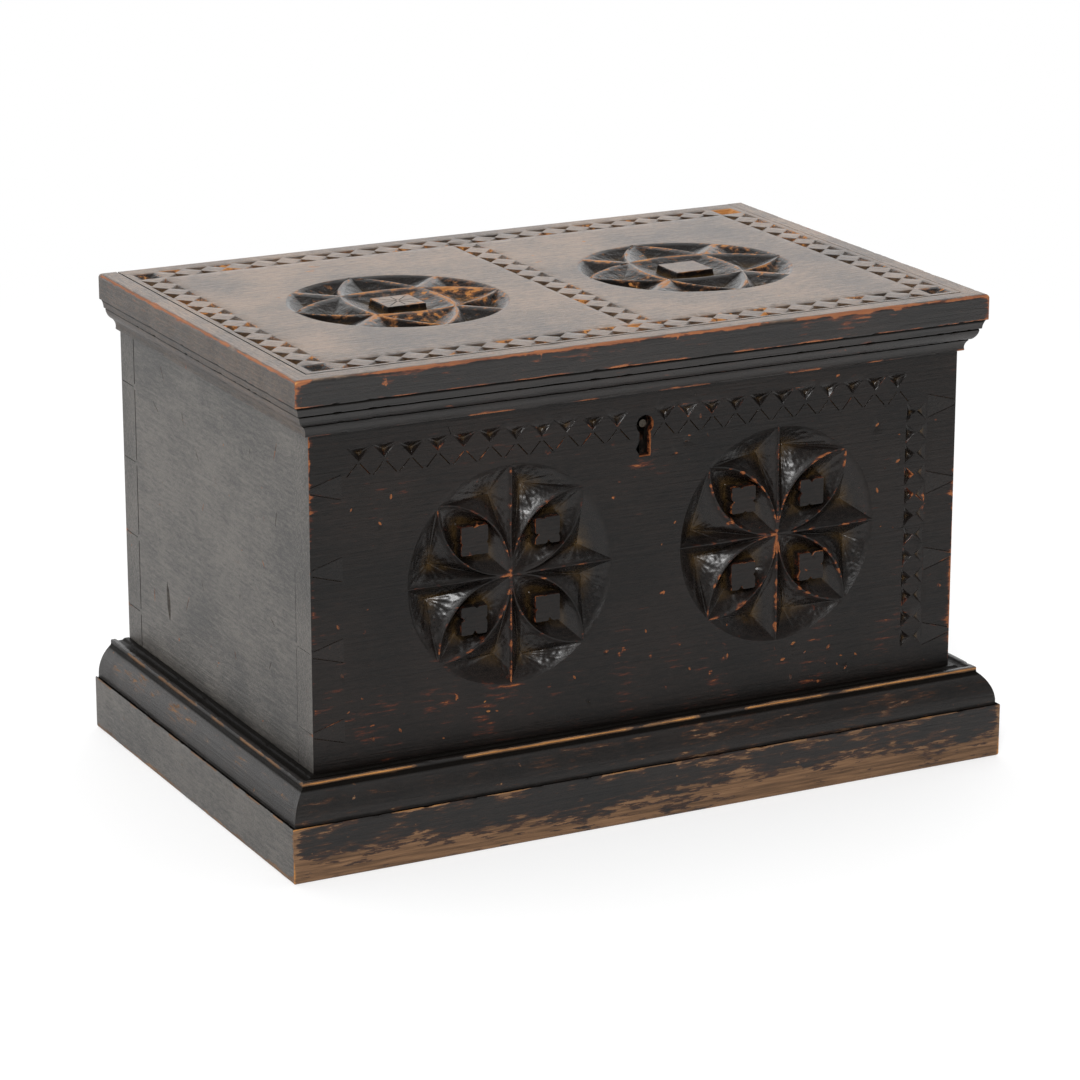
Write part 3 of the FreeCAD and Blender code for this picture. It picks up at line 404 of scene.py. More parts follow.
# %% Outline helpers
def straight(start, stop, count):
    """Points on a line, the last left out: start + (stop - start) k / count."""
    share = np.arange(count)[:, None] / count
    return np.asarray(start) + (np.asarray(stop) - np.asarray(start)) * share


def compass(centre, radius, first, last, count):
    """Points on an arc, the last left out, from the first angle to the last in degrees."""
    angle = np.radians(first + (last - first) * np.arange(count) / count)
    return np.asarray(centre) + radius * np.c_[np.cos(angle), np.sin(angle)]


def polar(radius, degrees):
    """A point at a radius and an angle."""
    return radius * np.array([math.cos(math.radians(degrees)), math.sin(math.radians(degrees))])


def turned(points, degrees):
    """Points turned about the centre."""
    c, s = math.cos(math.radians(degrees)), math.sin(math.radians(degrees))
    return points @ np.array([[c, s], [-s, c]])


def mirrored(loop):
    """A loop's mirror image in the first axis, run backwards so that it still turns to the left."""
    return loop[::-1] * (1, -1)


def polygon(corners, count):
    """A closed loop through corners, with a count of points on each side."""
    sides = zip(corners, np.roll(corners, -1, 0))
    return np.concatenate([straight(start, stop, count) for start, stop in sides])


def hand_drawn(loop, sway):
    """A loop as a hand cuts it: three slow waves of random phase move its points by up to a sway."""
    share = np.linspace(0, 2 * np.pi, len(loop), endpoint=False)
    waves = np.array([2, 3, 5])[:, None, None]
    phase = rng.uniform(0, 2 * np.pi, (3, 1, 2))
    return loop + sway * np.sin(waves * share[None, :, None] + phase).mean(axis=0)


def mottle(size):
    """A smooth random field over a face: eight sine waves about a size long, mostly within -1 and 1."""
    angle, phase = rng.uniform(0, 2 * np.pi, (2, 8))
    pace = 2 * np.pi / size * rng.uniform(0.6, 1.6, 8)
    waves = pace * np.stack([np.cos(angle), np.sin(angle)])
    return lambda spots: np.sin(spots @ waves + phase).sum(axis=1) / 2.5


def near(spots, places, radius):
    """How far each spot is inside the nearest circle."""
    return radius - np.min([np.linalg.norm(spots - place, axis=1) for place in places], axis=0)


# %% [markdown]
# ## Chips
# Every cut is one idea: an outline on the face, and a floor below it. Each outline point runs in to a
# point of the floor while the cut goes down. A chip cut to a point has a floor of one point, a groove has
# a line, and a hollow round a boss has the boss's foot. All are a surface over two parameters: where on
# the outline, and how far in.


# %% Cut surfaces
class Cut:
    """A carved surface below a board's face: its outline in the face, spots, depths, wear and quads."""

    def __init__(self, outline, floor, depth, rows, scoop, rubbed, uneven, pale=0.0):
        """Spot(s, t) = outline(s) + t (floor(s) - outline(s)), with a depth that grows by a power of t.

        Tool marks run down the cut: each s has a small change of depth of its own, greatest half way down.
        """
        share = np.linspace(0, 1, rows)[:, None]
        count = len(outline)
        marks = rng.normal(0, uneven, count)
        marks = (np.roll(marks, 1) + 2 * marks + np.roll(marks, -1)) / 4
        self.outline = outline
        self.spots = (outline + share[:, :, None] * (floor - outline)).reshape(-1, 2)
        self.depth = (depth * share**scoop + 4 * share * (1 - share) * marks).reshape(-1)
        self.rubbed = (rubbed * np.ones((rows, count))).reshape(-1)
        self.sunk = (share * np.ones((rows, count))).reshape(-1)
        self.pale = np.full(rows * count, pale)
        here = np.arange(count)
        after = np.roll(here, -1)
        ring = np.stack([here, after, after + count, here + count], axis=1)
        self.quads = (ring + count * np.arange(rows - 1)[:, None, None]).reshape(-1, 4)


EDGE_WEAR = 1.3
# How far the nicks in a boss stray along its sides and how wide they are, in radians
NOTCH_STRAY, NOTCH_WIDTH = 0.3, 0.12


def drawn_in(outline, deepest, ridge):
    """An outline shrunk towards a point until its nearest corner has moved by the ridge's width."""
    reach = np.linalg.norm(outline - deepest, axis=1).min()
    return deepest + (outline - deepest) * (1 - ridge / reach)


def hollow(outline, floor, depth, wear, rows=10, scoop=0.9, inside=0.0, uneven=0.1, pale=0.0):
    """A cut from an outline down to its floor, rubbed along the outline: wear times e to the -distance."""
    share = np.linspace(0, 1, rows)[:, None]
    reach = np.linalg.norm(outline - floor, axis=1)
    rubbed = inside + wear(outline) * np.exp(-share * reach / EDGE_WEAR)
    return Cut(outline, floor, depth, rows, scoop, rubbed, uneven, pale)


def boss_wall(top, foot, depth, worn, rows=5):
    """The walls of a block left standing: from the edge of its top, in the face, down to its foot."""
    share = np.linspace(0, 1, rows)[:, None]
    return Cut(top[::-1], foot[::-1], depth, rows, 1.0, worn * np.exp(-share * 3), 0.0)


def square_round(centre, half, notch, around):
    """A square in the directions of other points, each side nicked at a random place by up to a notch.

    Its reach at an angle is half / max(|cos|, |sin|), less a narrow bell for each nick.
    """
    angle = np.arctan2(*(around - centre).T[::-1])
    reach = half / np.maximum(np.abs(np.cos(angle)), np.abs(np.sin(angle)))
    for side in range(4):
        off = (angle - side * np.pi / 2 - rng.normal(0, NOTCH_STRAY) + np.pi) % (2 * np.pi) - np.pi
        reach = reach - notch * rng.uniform(0, 1) * np.exp(-((off / NOTCH_WIDTH) ** 2))
    return centre + reach[:, None] * np.c_[np.cos(angle), np.sin(angle)]


def dent(centre, length, width, tilt, depth, wear, inside, pale=0.0):
    """A pointed slit, from tip to tip along two parabolas, turned by a tilt in degrees."""
    share = np.linspace(-1, 1, 8)[:-1]
    lower = np.c_[share * length / 2, -width / 2 * (1 - share**2)]
    outline = np.concatenate([lower, -lower])
    keel = outline * (0.6, 0.0)
    outline, keel = (centre + turned(loop, tilt) for loop in (outline, keel))
    return hollow(outline, keel, depth, wear, 3, 1.0, inside, 0.0, pale)


def groove(start, stop, width, depth, wear):
    """A straight groove: an outline up one side of a line and down the other, and the line as its floor."""
    length = np.linalg.norm(stop - start)
    line = np.linspace(start, stop, int(length) + 2)
    side = np.array([stop[1] - start[1], start[0] - stop[0]]) / length * width / 2
    outline, floor = np.concatenate([line + side, line[::-1] - side]), np.concatenate([line, line[::-1]])
    return hollow(outline, floor, depth, wear, 4, 1.0, uneven=0.0)


def scattered(low, high, count, taken, room):
    """Up to a count of random places in a rectangle, each clear of the spots taken and of one another."""
    places = np.zeros((0, 2))
    for place in rng.uniform(low, high, (3 * count, 2)):
        if np.linalg.norm(np.concatenate([taken, places]) - place, axis=1).min() > room:
            places = np.concatenate([places, [place]])
    return places[:count]


# %% [markdown]
# ## Front rosettes
# Four straight ridges cross in the middle. Between them stand four leaf-shaped petals, drawn with circles
# of radius R / sqrt 2 whose centres lie on the axes, and each petal is hollowed round a square boss.
# Between a ridge and a petal the wood is cut down to a point. The outlines keep a narrow ridge between
# neighbours.

# %% Front rosettes
FRONT_RADIUS = 63.5
FRONT_DEPTH = 9.5
FRONT_EYE = 7.0
FRONT_BOSS = 8.8
BOSS_LEAN = 0.89
BOSS_CLEAR = 11.0
RIDGE = 0.3
SWAY = 0.25
# How far deepest points and bosses stray, how deep tool marks are, and shares by which sizes differ
FRONT_STRAY, BOSS_STRAY, TOOL_MARKS = 1.5, 0.6, 0.16
GAP_SPREAD, PETAL_SPREAD, BOSS_SPREAD = (0.9, 1.1), (0.7, 0.85), (0.95, 1.05)
PETAL_SCOOP, BOSS_NOTCH, BOSS_WEAR = 0.85, 2.6, 0.65
QUARTERS = (0, 90, 180, 270)
FRONT_PLACES = [(-83.0, 149.0), (86.0, 149.0)]
FRONT_DEEPEST = polar(0.77 * FRONT_RADIUS, 12.0)
FRONT_HEART = polar(FRONT_RADIUS / 2, 45)
KEYHOLE = np.array([0.0, 224.0])
KEYHOLE_FOOT = np.array([1.0, 203.0])
KEYHOLE_WEAR = 1.1
KEYHOLE_DROP, KEYHOLE_REACH = 8.0, (7.0, 0.1, 16.0)
LEFT_RIDGES, RIGHT_RIDGES = 0.55, 0.75
DOTTED, SLOW_DOTS, FINE_DOTS = 0.45, 0.4, 0.5
EDGE_REACH = 2.6
LOW_WEAR, LOW_TOP, LOW_FADE = 0.3, 125.0, 60.0
KEY_WEAR, KEY_REACH = 0.5, 9.0

front_bosses = [place + turned(FRONT_HEART, quarter) for place in FRONT_PLACES for quarter in QUARTERS]
front_rub, edge_rub, ridge_rub = mottle(30.0), mottle(45.0), mottle(7.0)


def front_wear(spots):
    """The front is rubbed on its rosettes' ridges, along its upright edges, low down and by the keyhole."""
    off_bosses = near(spots, front_bosses, BOSS_CLEAR) < 0
    inner = np.clip(near(spots, FRONT_PLACES, FRONT_RADIUS) - 0.5, 0, 1) * off_bosses
    dotted = np.clip(DOTTED + SLOW_DOTS * front_rub(spots) + FINE_DOTS * ridge_rub(spots), 0, 1)
    ridges = inner * dotted * np.where(spots[:, 0] > 0, RIGHT_RIDGES, LEFT_RIDGES)
    edge = np.minimum(spots[:, 0] - front_low[0], front_high[0] - spots[:, 0])
    patchy = np.clip(0.5 + edge_rub(spots), 0, 1)
    edges = np.exp(-edge / EDGE_REACH) * patchy
    low = LOW_WEAR * np.clip((LOW_TOP - spots[:, 1]) / LOW_FADE, 0, 1) * patchy
    keyed = KEY_WEAR * np.exp(-((np.linalg.norm(spots - KEYHOLE_FOOT, axis=1) / KEY_REACH) ** 2))
    return ridges + edges + low + keyed


def front_rosette(centre):
    """The cuts of one rosette: eight hollows, four petals and the walls of their bosses."""
    radius, rho = FRONT_RADIUS, FRONT_RADIUS / math.sqrt(2)
    last = -math.degrees(math.acos(FRONT_EYE / rho))
    start = np.array([FRONT_EYE, rho - math.sqrt(rho**2 - FRONT_EYE**2)])
    foot = np.array([FRONT_EYE, 0.0])
    gap = np.concatenate([
        straight(foot, polar(radius, 0), 38), compass((0, 0), radius, 0, 45, 34),
        compass((0, rho), rho, 0, last, 42), straight(start, foot, 4),
    ])
    petal = np.concatenate([compass((0, rho), rho, -90, 0, 48), compass((rho, 0), rho, 90, 180, 48)])
    cuts = []
    for quarter in QUARTERS:
        for side, flip in ((gap, 1), (mirrored(gap), -1)):
            deepest = turned(FRONT_DEEPEST * (1, flip), quarter) + rng.normal(0, FRONT_STRAY, 2)
            loop = hand_drawn(drawn_in(turned(side, quarter), deepest, RIDGE), SWAY)
            depth = FRONT_DEPTH * rng.uniform(*GAP_SPREAD)
            cuts.append(hollow(centre + loop, centre + deepest, depth, front_wear, 20, uneven=TOOL_MARKS))
        heart = turned(FRONT_HEART, quarter)
        middle = heart + rng.normal(0, BOSS_STRAY, 2)
        loop = hand_drawn(drawn_in(turned(petal, quarter), heart, RIDGE), SWAY)
        base = square_round(middle, FRONT_BOSS * rng.uniform(*BOSS_SPREAD), BOSS_NOTCH, loop)
        depth = FRONT_DEPTH * rng.uniform(*PETAL_SPREAD)
        well = hollow(centre + loop, centre + base, depth, front_wear, 14, PETAL_SCOOP, uneven=TOOL_MARKS)
        wall = boss_wall(centre + middle + (base - middle) * BOSS_LEAN, centre + base, depth, BOSS_WEAR)
        cuts += [well, wall]
    return cuts


front_cuts = sum((front_rosette(np.array(place)) for place in FRONT_PLACES), [])
print("front rosettes:", len(front_cuts), "cuts")

# %% [markdown]
# ## Chip bands
# A band is two rows of triangles, tip to tip, with square diamonds left between them. Each triangle is a
# chip with three facets, deepest near one side, so that one facet is steep and catches the light. The
# carver spaced them by eye, so each one is moved and deepened a little. The keyhole parts the front's top
# band, whose lower row is only scored with lines.

# %% Bands
# Where a chip is deepest, as shares of its tip and of the two ends of its base; a lined one is only scored
BY_FIRST, BY_SECOND, BY_TIP, LINED = (0.5, 0.31, 0.19), (0.5, 0.19, 0.31), (0.6, 0.2, 0.2), None
LINE_WIDTH, LINE_ENDS = 0.65, np.array([[0.12], [0.94]])
TIP_GAP, BASE_HALF = 0.04, 0.47
BAND_STRAY, BAND_SPREAD, MOST_BARE = 0.25, (0.8, 1.2), 0.8


def band(start, stop, half, count, rows, wear, bare, pale=0.0):
    """Two rows of triangles along a line: bases at half a width to each side, tips on the line.

    Rows gives each row's depth and where its chips are deepest; bare the mean and spread of the wear inside.
    """
    start, stop = np.asarray(start, float), np.asarray(stop, float)
    step = (stop - start) / count
    across = np.array([-step[1], step[0]]) / np.linalg.norm(step) * half
    cuts = []
    for index in range(count):
        for side, (depth, shares) in zip((1, -1), rows):
            middle = start + step * (index + 0.5) + rng.normal(0, BAND_STRAY, 2)
            tip = middle + across * side * TIP_GAP
            bases = [middle + side * (across + slant * step) for slant in (BASE_HALF, -BASE_HALF)]
            corners = np.array([tip, *bases])
            depth_here = depth * rng.uniform(*BAND_SPREAD)
            if shares is LINED:
                for corner in corners[1:]:
                    ends = tip + LINE_ENDS * (corner - tip)
                    cuts.append(groove(*ends, LINE_WIDTH, depth_here, wear))
                continue
            deepest = shares @ corners + rng.normal(0, BAND_STRAY, 2)
            inside = np.clip(rng.normal(*bare), 0, MOST_BARE)
            cuts.append(hollow(polygon(corners, 8), deepest, depth_here, wear, 5, 1.0, inside, 0.05, pale))
    return cuts


TOP_BAND_HEIGHT, TOP_BAND_HALF, TOP_BAND_COUNT = 224.7, 8.5, 11
TOP_BAND_RUNS = ((-182.2, -9.1), (4.6, 171.8))
TOP_ROWS, TOP_BARE = ((2.9, BY_FIRST), (0.6, LINED)), (0.0, 0.12)
SIDE_BAND_RUN = ((177.0, 216.0), (177.0, 68.0))
SIDE_BAND_HALF, SIDE_BAND_COUNT = 7.0, 12
SIDE_ROWS, SIDE_BARE = ((1.4, BY_TIP), (2.9, BY_SECOND)), (0.1, 0.15)
BAND_WEAR, BAND_FROM = 0.6, 0.3
band_rub = mottle(22.0)


def band_wear(spots):
    """The arrises of the front's band chips are rubbed here and there."""
    return BAND_WEAR * np.clip(band_rub(spots) - BAND_FROM, 0, 1)


top_band = []
for run in TOP_BAND_RUNS:
    ends = [(place, TOP_BAND_HEIGHT) for place in run]
    top_band += band(*ends, TOP_BAND_HALF, TOP_BAND_COUNT, TOP_ROWS, band_wear, TOP_BARE)
side_band = band(*SIDE_BAND_RUN, SIDE_BAND_HALF, SIDE_BAND_COUNT, SIDE_ROWS, band_wear, SIDE_BARE)
print("front bands:", len(top_band), "and", len(side_band), "cuts")

# %% Dents in the front
# Rectangles in the front's face, by two corners, and how many dents each has
FRONT_DENTS = [
    ((6, 196), (62, 240), 10), ((40, 62), (165, 84), 12), ((150, 90), (168, 212), 7),
    ((-196, 60), (-150, 205), 10), ((-145, 60), (30, 84), 8), ((-30, 90), (25, 190), 6),
]
DENT_LENGTH, DENT_WIDTH, DENT_DEPTH = (1.0, 3.6), 0.45, 0.3
DENT_BARE, DENT_ROOM = (0.4, 1.1), 4.0
KEYHOLE_SLOT = np.array([(-3.5, 205), (3.5, 205), (3.5, 224), (-3.5, 224)])
keyhole_spots = np.concatenate([compass(KEYHOLE, 5.4, 0, 360, 24), polygon(KEYHOLE_SLOT, 8)])
taken = np.concatenate([keyhole_spots] + [cut.spots for cut in front_cuts + top_band + side_band])
front_dents = []
for low, high, count in FRONT_DENTS:
    for place in scattered(low, high, count, taken, DENT_ROOM):
        size, tilt, bare = (rng.uniform(*span) for span in (DENT_LENGTH, (0, 180), DENT_BARE))
        front_dents.append(dent(place, size, DENT_WIDTH * size, tilt, DENT_DEPTH, band_wear, bare))
print("front dents:", len(front_dents))

# %% [markdown]
# ## Lid rosettes
# Two crossed lens shapes, each edge one compass arc from rim to rim, enclose a bowed square. Inside it a
# square well leaves a boss standing. Outside, chips run to the rim between short ridges on the diagonals.

# %% Lid rosettes
LID_RADIUS = 64.0
LID_DEPTH = 6.5
LID_WELL = 28.0
LID_BOSS = 11.8
LID_PLACES = [(-90.0, 1.65), (96.0, 1.65)]
LID_WELL_DEPTH = 4.2
RIM_DEEPEST, TIP_DEEPEST = polar(0.8 * LID_RADIUS, 24), polar(0.66 * LID_RADIUS, 0)
LID_BARE = (0.05, 0.5)
LID_STRAY, LID_SPREAD = 0.8, (0.75, 1.0)
BOSS_FOOT, BOSS_TOP, LID_BOSS_WEAR = 1.05, 0.95, 0.5
WELL_SCOOP, WELL_BARE = 0.8, 0.3
LID_WEAR, LID_RIDGE_WEAR = 0.1, 0.6
LID_MEAN, LID_SPAN, BOSS_SPARED = 0.65, 0.45, 0.9

lid_rub = mottle(30.0)


def lid_wear(spots):
    """The lid is rubbed on the ridges of its rosettes and, less, on the arrises of its band chips."""
    inner = np.clip(near(spots, LID_PLACES, LID_RADIUS) - 0.3, 0, 1)
    patchy = np.clip(LID_MEAN + LID_SPAN * lid_rub(spots), 0, 1)
    boss = near(spots, LID_PLACES, LID_BOSS * BOSS_SPARED) > 0
    return np.where(boss, 0.0, patchy * (LID_WEAR + LID_RIDGE_WEAR * inner))


def lid_rosette(centre):
    """The cuts of one lid rosette: eight rim chips, four tip chips, the well and the walls of its boss."""
    radius, bow = LID_RADIUS, LID_WELL
    arm = (radius**2 + bow**2) / (2 * bow)
    low = bow - arm
    corner = (low + math.sqrt(2 * arm**2 - low**2)) / 2
    upper = np.array([corner, corner])
    at_rim, at_upper = (math.degrees(math.atan2(y - low, x)) for x, y in ((radius, 0), upper))
    half_turn = math.degrees(math.atan2(corner, corner - low))
    rim_chip = np.concatenate([
        compass((0, 0), radius, 0, 45, 30), straight(polar(radius, 45), upper, 16),
        compass((0, low), arm, at_upper, at_rim, 28),
    ])
    tip_chip = np.concatenate([
        compass((0, -low), arm, -at_upper, -at_rim, 26), compass((0, low), arm, at_rim, at_upper, 26),
        compass((low, 0), arm, half_turn, -half_turn, 30),
    ])
    bow_side = compass((low, 0), arm, -half_turn, half_turn, 26)
    mouth = np.concatenate([turned(bow_side, quarter) for quarter in QUARTERS])
    chips = []
    for quarter in QUARTERS:
        for outline, middle in (
            (rim_chip, RIM_DEEPEST), (mirrored(rim_chip), RIM_DEEPEST * (1, -1)), (tip_chip, TIP_DEEPEST),
        ):
            chips.append((turned(outline, quarter), turned(middle, quarter)))
    cuts = []
    for outline, middle in chips:
        deepest = middle + rng.normal(0, LID_STRAY, 2)
        loop = hand_drawn(drawn_in(outline, deepest, RIDGE), SWAY)
        depth = LID_DEPTH * rng.uniform(*LID_SPREAD)
        inside = rng.uniform(*LID_BARE)
        cuts.append(hollow(centre + loop, centre + deepest, depth, lid_wear, 14, inside=inside))
    loop = hand_drawn(drawn_in(mouth, np.zeros(2), RIDGE), SWAY)
    base = square_round(np.zeros(2), LID_BOSS * BOSS_FOOT, 0.0, loop)
    cuts.append(hollow(centre + loop, centre + base, LID_WELL_DEPTH, lid_wear, 12, WELL_SCOOP, WELL_BARE))
    cuts.append(boss_wall(centre + base * BOSS_TOP, centre + base, LID_WELL_DEPTH, LID_BOSS_WEAR))
    return cuts


lid_cuts = sum((lid_rosette(np.array(place)) for place in LID_PLACES), [])
# Eight fine lines are cut across the left boss, from near its middle to near its edge
SPOKE_START, SPOKE_STOP, SPOKE_WIDTH, SPOKE_DEPTH = 1.0, 10.0, 0.65, 0.6
LONG_SPOKE = 1.25
for spoke in range(8):
    stop = SPOKE_STOP * (LONG_SPOKE if spoke % 2 else 1.0)
    lid_cuts.append(groove(
        LID_PLACES[0] + polar(SPOKE_START, 45 * spoke), LID_PLACES[0] + polar(stop, 45 * spoke),
        SPOKE_WIDTH, SPOKE_DEPTH, lid_wear))
BAND_HALF = 8.0
LEFT_LINE, RIGHT_LINE, MIDDLE_LINE = lid_low[0] + 11.0, lid_high[0] - 11.0, 7.5
FRONT_LINE, BACK_LINE = lid_low[1] + 10.0, lid_high[1] - 19.0
CORNER_ROOM = 9.0
ALONG_COUNT, DOWN_COUNT = 23, 13
LID_ROWS, BAND_BARE = ((1.9, BY_FIRST), (1.9, BY_SECOND)), (0.28, 0.2)
# The lid's band chips take half of the lid's lighter stain, partly painted sheen
LID_BAND_SHEEN = 0.5
CORNER_DEPTH, CORNER_BARE, WORN_CORNER_BARE = 3.2, 0.4, 0.9
along_lid = (LEFT_LINE + CORNER_ROOM, RIGHT_LINE - CORNER_ROOM)
down_lid = (FRONT_LINE + CORNER_ROOM, BACK_LINE - CORNER_ROOM)
lid_runs = [[(x, line) for x in along_lid] + [ALONG_COUNT] for line in (FRONT_LINE, BACK_LINE)]
lid_runs += [[(line, y) for y in down_lid] + [DOWN_COUNT] for line in (LEFT_LINE, MIDDLE_LINE, RIGHT_LINE)]
lid_bands = []
for start, stop, count in lid_runs:
    lid_bands += band(start, stop, BAND_HALF, count, LID_ROWS, lid_wear, BAND_BARE, LID_BAND_SHEEN)
for x in (LEFT_LINE, RIGHT_LINE):
    for y in (FRONT_LINE, BACK_LINE):
        square = np.array([(-1, -1), (1, -1), (1, 1), (-1, 1)]) * (BAND_HALF - 1.0) + (x, y)
        inside = WORN_CORNER_BARE if x > 0 and y > 0 else CORNER_BARE
        middle = np.array([x, y])
        lid_bands.append(hollow(polygon(square, 6), middle, CORNER_DEPTH, lid_wear, 6, 1.0, inside))
print("lid:", len(lid_cuts), "rosette cuts,", len(lid_bands), "band chips")

# %% [markdown]
# ## The ground between the cuts
# What is left of the old face is flat and full of holes. A Delaunay triangulation that keeps every
# outline fills it, and a count of crossings tells ground from hole. The rest of the board, with its
# tails, mortises and screw holes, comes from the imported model, and the new face takes that part's open
# edge as its own outline. Last, the long sharp edges are eased by a small bevel.


# %% Faces of packed boards
# Points this near to a plane lie in it
TOUCH = 0.01


def read(rows, key, width=1, kind=np.int32):
    """One value of each row of a mesh's data, or a width of values each."""
    values = np.empty(len(rows) * width, kind)
    rows.foreach_get(key, values)
    return values.reshape(-1, width) if width > 1 else values


def packed(node):
    """A node's welded points in mm and its triangles."""
    mesh = frame["nodes"][node].data
    mesh.calc_loop_triangles()
    points = read(mesh.vertices, "co", 3, np.float32)
    keys, merged = np.unique(np.round(points / MM, 3), axis=0, return_inverse=True)
    return keys, merged.reshape(-1)[read(mesh.loop_triangles, "vertices", 3)]


class Face:
    """A flat face of a packed board as one looks at it, with directions to the right, up and out of it."""

    def __init__(self, node, right, up):
        self.node = node
        self.frame = np.array([right, up, np.cross(right, up)], float)
        self.points, self.triangles = packed(node)
        placed = self.points @ self.frame.T
        self.level = placed[:, 2].max()
        self.low, self.high = placed[:, :2].min(axis=0), placed[:, :2].max(axis=0)

    def solid(self, spots, depth):
        """The points at a depth below spots of the face."""
        return np.c_[spots, self.level - depth] @ self.frame

    def given_up(self, places, reach, limit):
        """Which triangles lie in the face, or within a reach of places and less than a limit below it."""
        placed = self.points[self.triangles] @ self.frame.T
        middle = placed.mean(axis=1)
        in_face = (placed[:, :, 2] > self.level - TOUCH).all(axis=1)
        under = near(middle[:, :2], places, reach) > 0
        return in_face | (under & (middle[:, 2] > self.level - limit))

    def rim(self, triangles):
        """The open edge of the triangles that are kept: spots in the face, and pairs of them.

        An edge is open when only one triangle uses it.
        """
        sides = np.concatenate([triangles[:, [0, 1]], triangles[:, [1, 2]], triangles[:, [2, 0]]])
        edges, uses = np.unique(np.sort(sides, axis=1), axis=0, return_counts=True)
        used, pairs = np.unique(edges[uses == 1], return_inverse=True)
        return self.points[used] @ self.frame[:2].T, pairs.reshape(-1, 2)


# %% Ground and boards
def crossings(spots, starts, stops):
    """How many of the segments a line to the right of each spot crosses."""
    counts = np.zeros(len(spots), int)
    for part in np.array_split(np.arange(len(spots)), max(1, len(spots) // 500)):
        x, y = spots[part].T[:, :, None]
        spans = (starts[:, 1] > y) != (stops[:, 1] > y)
        rise = np.where(stops[:, 1] == starts[:, 1], 1.0, stops[:, 1] - starts[:, 1])
        at = starts[:, 0] + (y - starts[:, 1]) / rise * (stops[:, 0] - starts[:, 0])
        counts[part] = (spans & (at > x)).sum(axis=1)
    return counts


def ground(cuts, rim_points, rim_edges, spots):
    """The flat face inside the rim and outside every cut, as spots and triangles."""
    loops = [cut.outline for cut in cuts]
    offsets = np.cumsum([len(rim_points)] + [len(loop) for loop in loops])
    edges = [rim_edges] + [
        offset + np.c_[np.arange(len(loop)), np.roll(np.arange(len(loop)), -1)]
        for offset, loop in zip(offsets, loops)
    ]
    points, edges = np.concatenate([rim_points] + loops), np.concatenate(edges)
    starts, stops = points[edges[:, 0]], points[edges[:, 1]]
    spots = spots[crossings(spots, starts, stops) % 2 == 1]
    made = geometry.delaunay_2d_cdt(np.concatenate([points, spots]).tolist(), edges.tolist(), [], 0, 1e-4)
    flat = np.array([tuple(spot) for spot in made[0]])
    triangles = np.array(made[2])
    middles = flat[triangles].mean(axis=1)
    return flat, triangles[crossings(middles, starts, stops) % 2 == 1]


WELD, SLIVER = 0.002, 0.001
SMOOTH_ANGLE = 32.0


def piece(name, points, faces, material, body, node, slot, **corner_values):
    """A welded mesh from points in mm, with values at its corners.

    It stands for a node and rides on a body.
    """
    mesh = bpy.data.meshes.new(name)
    mesh.from_pydata((points * MM).tolist(), [], faces)
    corners = read(mesh.loops, "vertex_index")
    for key, values in corner_values.items():
        layer = mesh.attributes.new(key, "FLOAT", "CORNER")
        layer.data.foreach_set("value", values[corners].astype(np.float32))
    shell = bmesh.new()
    shell.from_mesh(mesh)
    bmesh.ops.remove_doubles(shell, verts=shell.verts, dist=WELD * MM)
    bmesh.ops.dissolve_degenerate(shell, edges=shell.edges, dist=SLIVER * MM)
    shell.to_mesh(mesh)
    shell.free()
    mesh.shade_smooth()
    mesh.set_sharp_from_angle(angle=math.radians(SMOOTH_ANGLE))
    mesh.materials.append(material)
    made = bpy.data.objects.new(name, mesh)
    bpy.context.collection.objects.link(made)
    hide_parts(node)
    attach(made, body)
    print(name, len(mesh.polygons), "faces")
    return made


EASE = 0.5
EASE_LEAST = 1.5
EASE_ANGLE = 65.0
INNER = 180.0
outer_planes = [
    (0, front_low[0]), (0, front_high[0]), (1, front_low[1]), (1, back_high[1]),
    (2, front_low[2]), (2, lid_low[2]), (2, lid_high[2]),
]


def ease(made):
    """Bevels the edges of a board that are long and sharp.

    An edge is sharp when the normals of its two faces are further apart than an angle. Those of the joints
    stay as they are: an edge is eased if both its ends lie in two of the outer planes, one of them level,
    or if it is far from the corners of the box.
    """
    mesh = made.data
    ends, around = read(mesh.edges, "vertices", 2), read(mesh.loops, "edge_index")
    spots = read(mesh.vertices, "co", 3, np.float32) / MM
    normals = read(mesh.polygons, "normal", 3, np.float32)
    sizes = read(mesh.polygons, "loop_total")
    order = np.argsort(around, kind="stable")
    edge, face = around[order], np.repeat(np.arange(len(sizes)), sizes)[order]
    pair = edge[:-1] == edge[1:]
    cosine = (normals[face[:-1]] * normals[face[1:]]).sum(axis=1)
    sharp = edge[:-1][pair & (cosine < math.cos(math.radians(EASE_ANGLE)))]
    lasting = np.linalg.norm(spots[ends[:, 0]] - spots[ends[:, 1]], axis=1) > EASE_LEAST
    planes = np.array([np.abs(spots[:, axis] - level) < TOUCH for axis, level in outer_planes])
    upright = (planes[:4].sum(axis=0)[ends] > 1).all(axis=1)
    outer = (planes.sum(axis=0)[ends] > 1).all(axis=1) | (np.abs(spots[ends[:, 0], 0]) < INNER)
    weights = np.zeros(len(ends), np.float32)
    weights[sharp] = (lasting & outer & ~upright)[sharp]
    mesh.attributes.new("bevel_weight_edge", "FLOAT", "EDGE").data.foreach_set("value", weights)
    bevel = made.modifiers.new("eased", "BEVEL")
    bevel.width = EASE * MM
    bevel.segments = 2
    bevel.limit_method = "WEIGHT"
    bevel.use_clamp_overlap = False
    print("eased", made.name, int(weights.sum()), "edges")


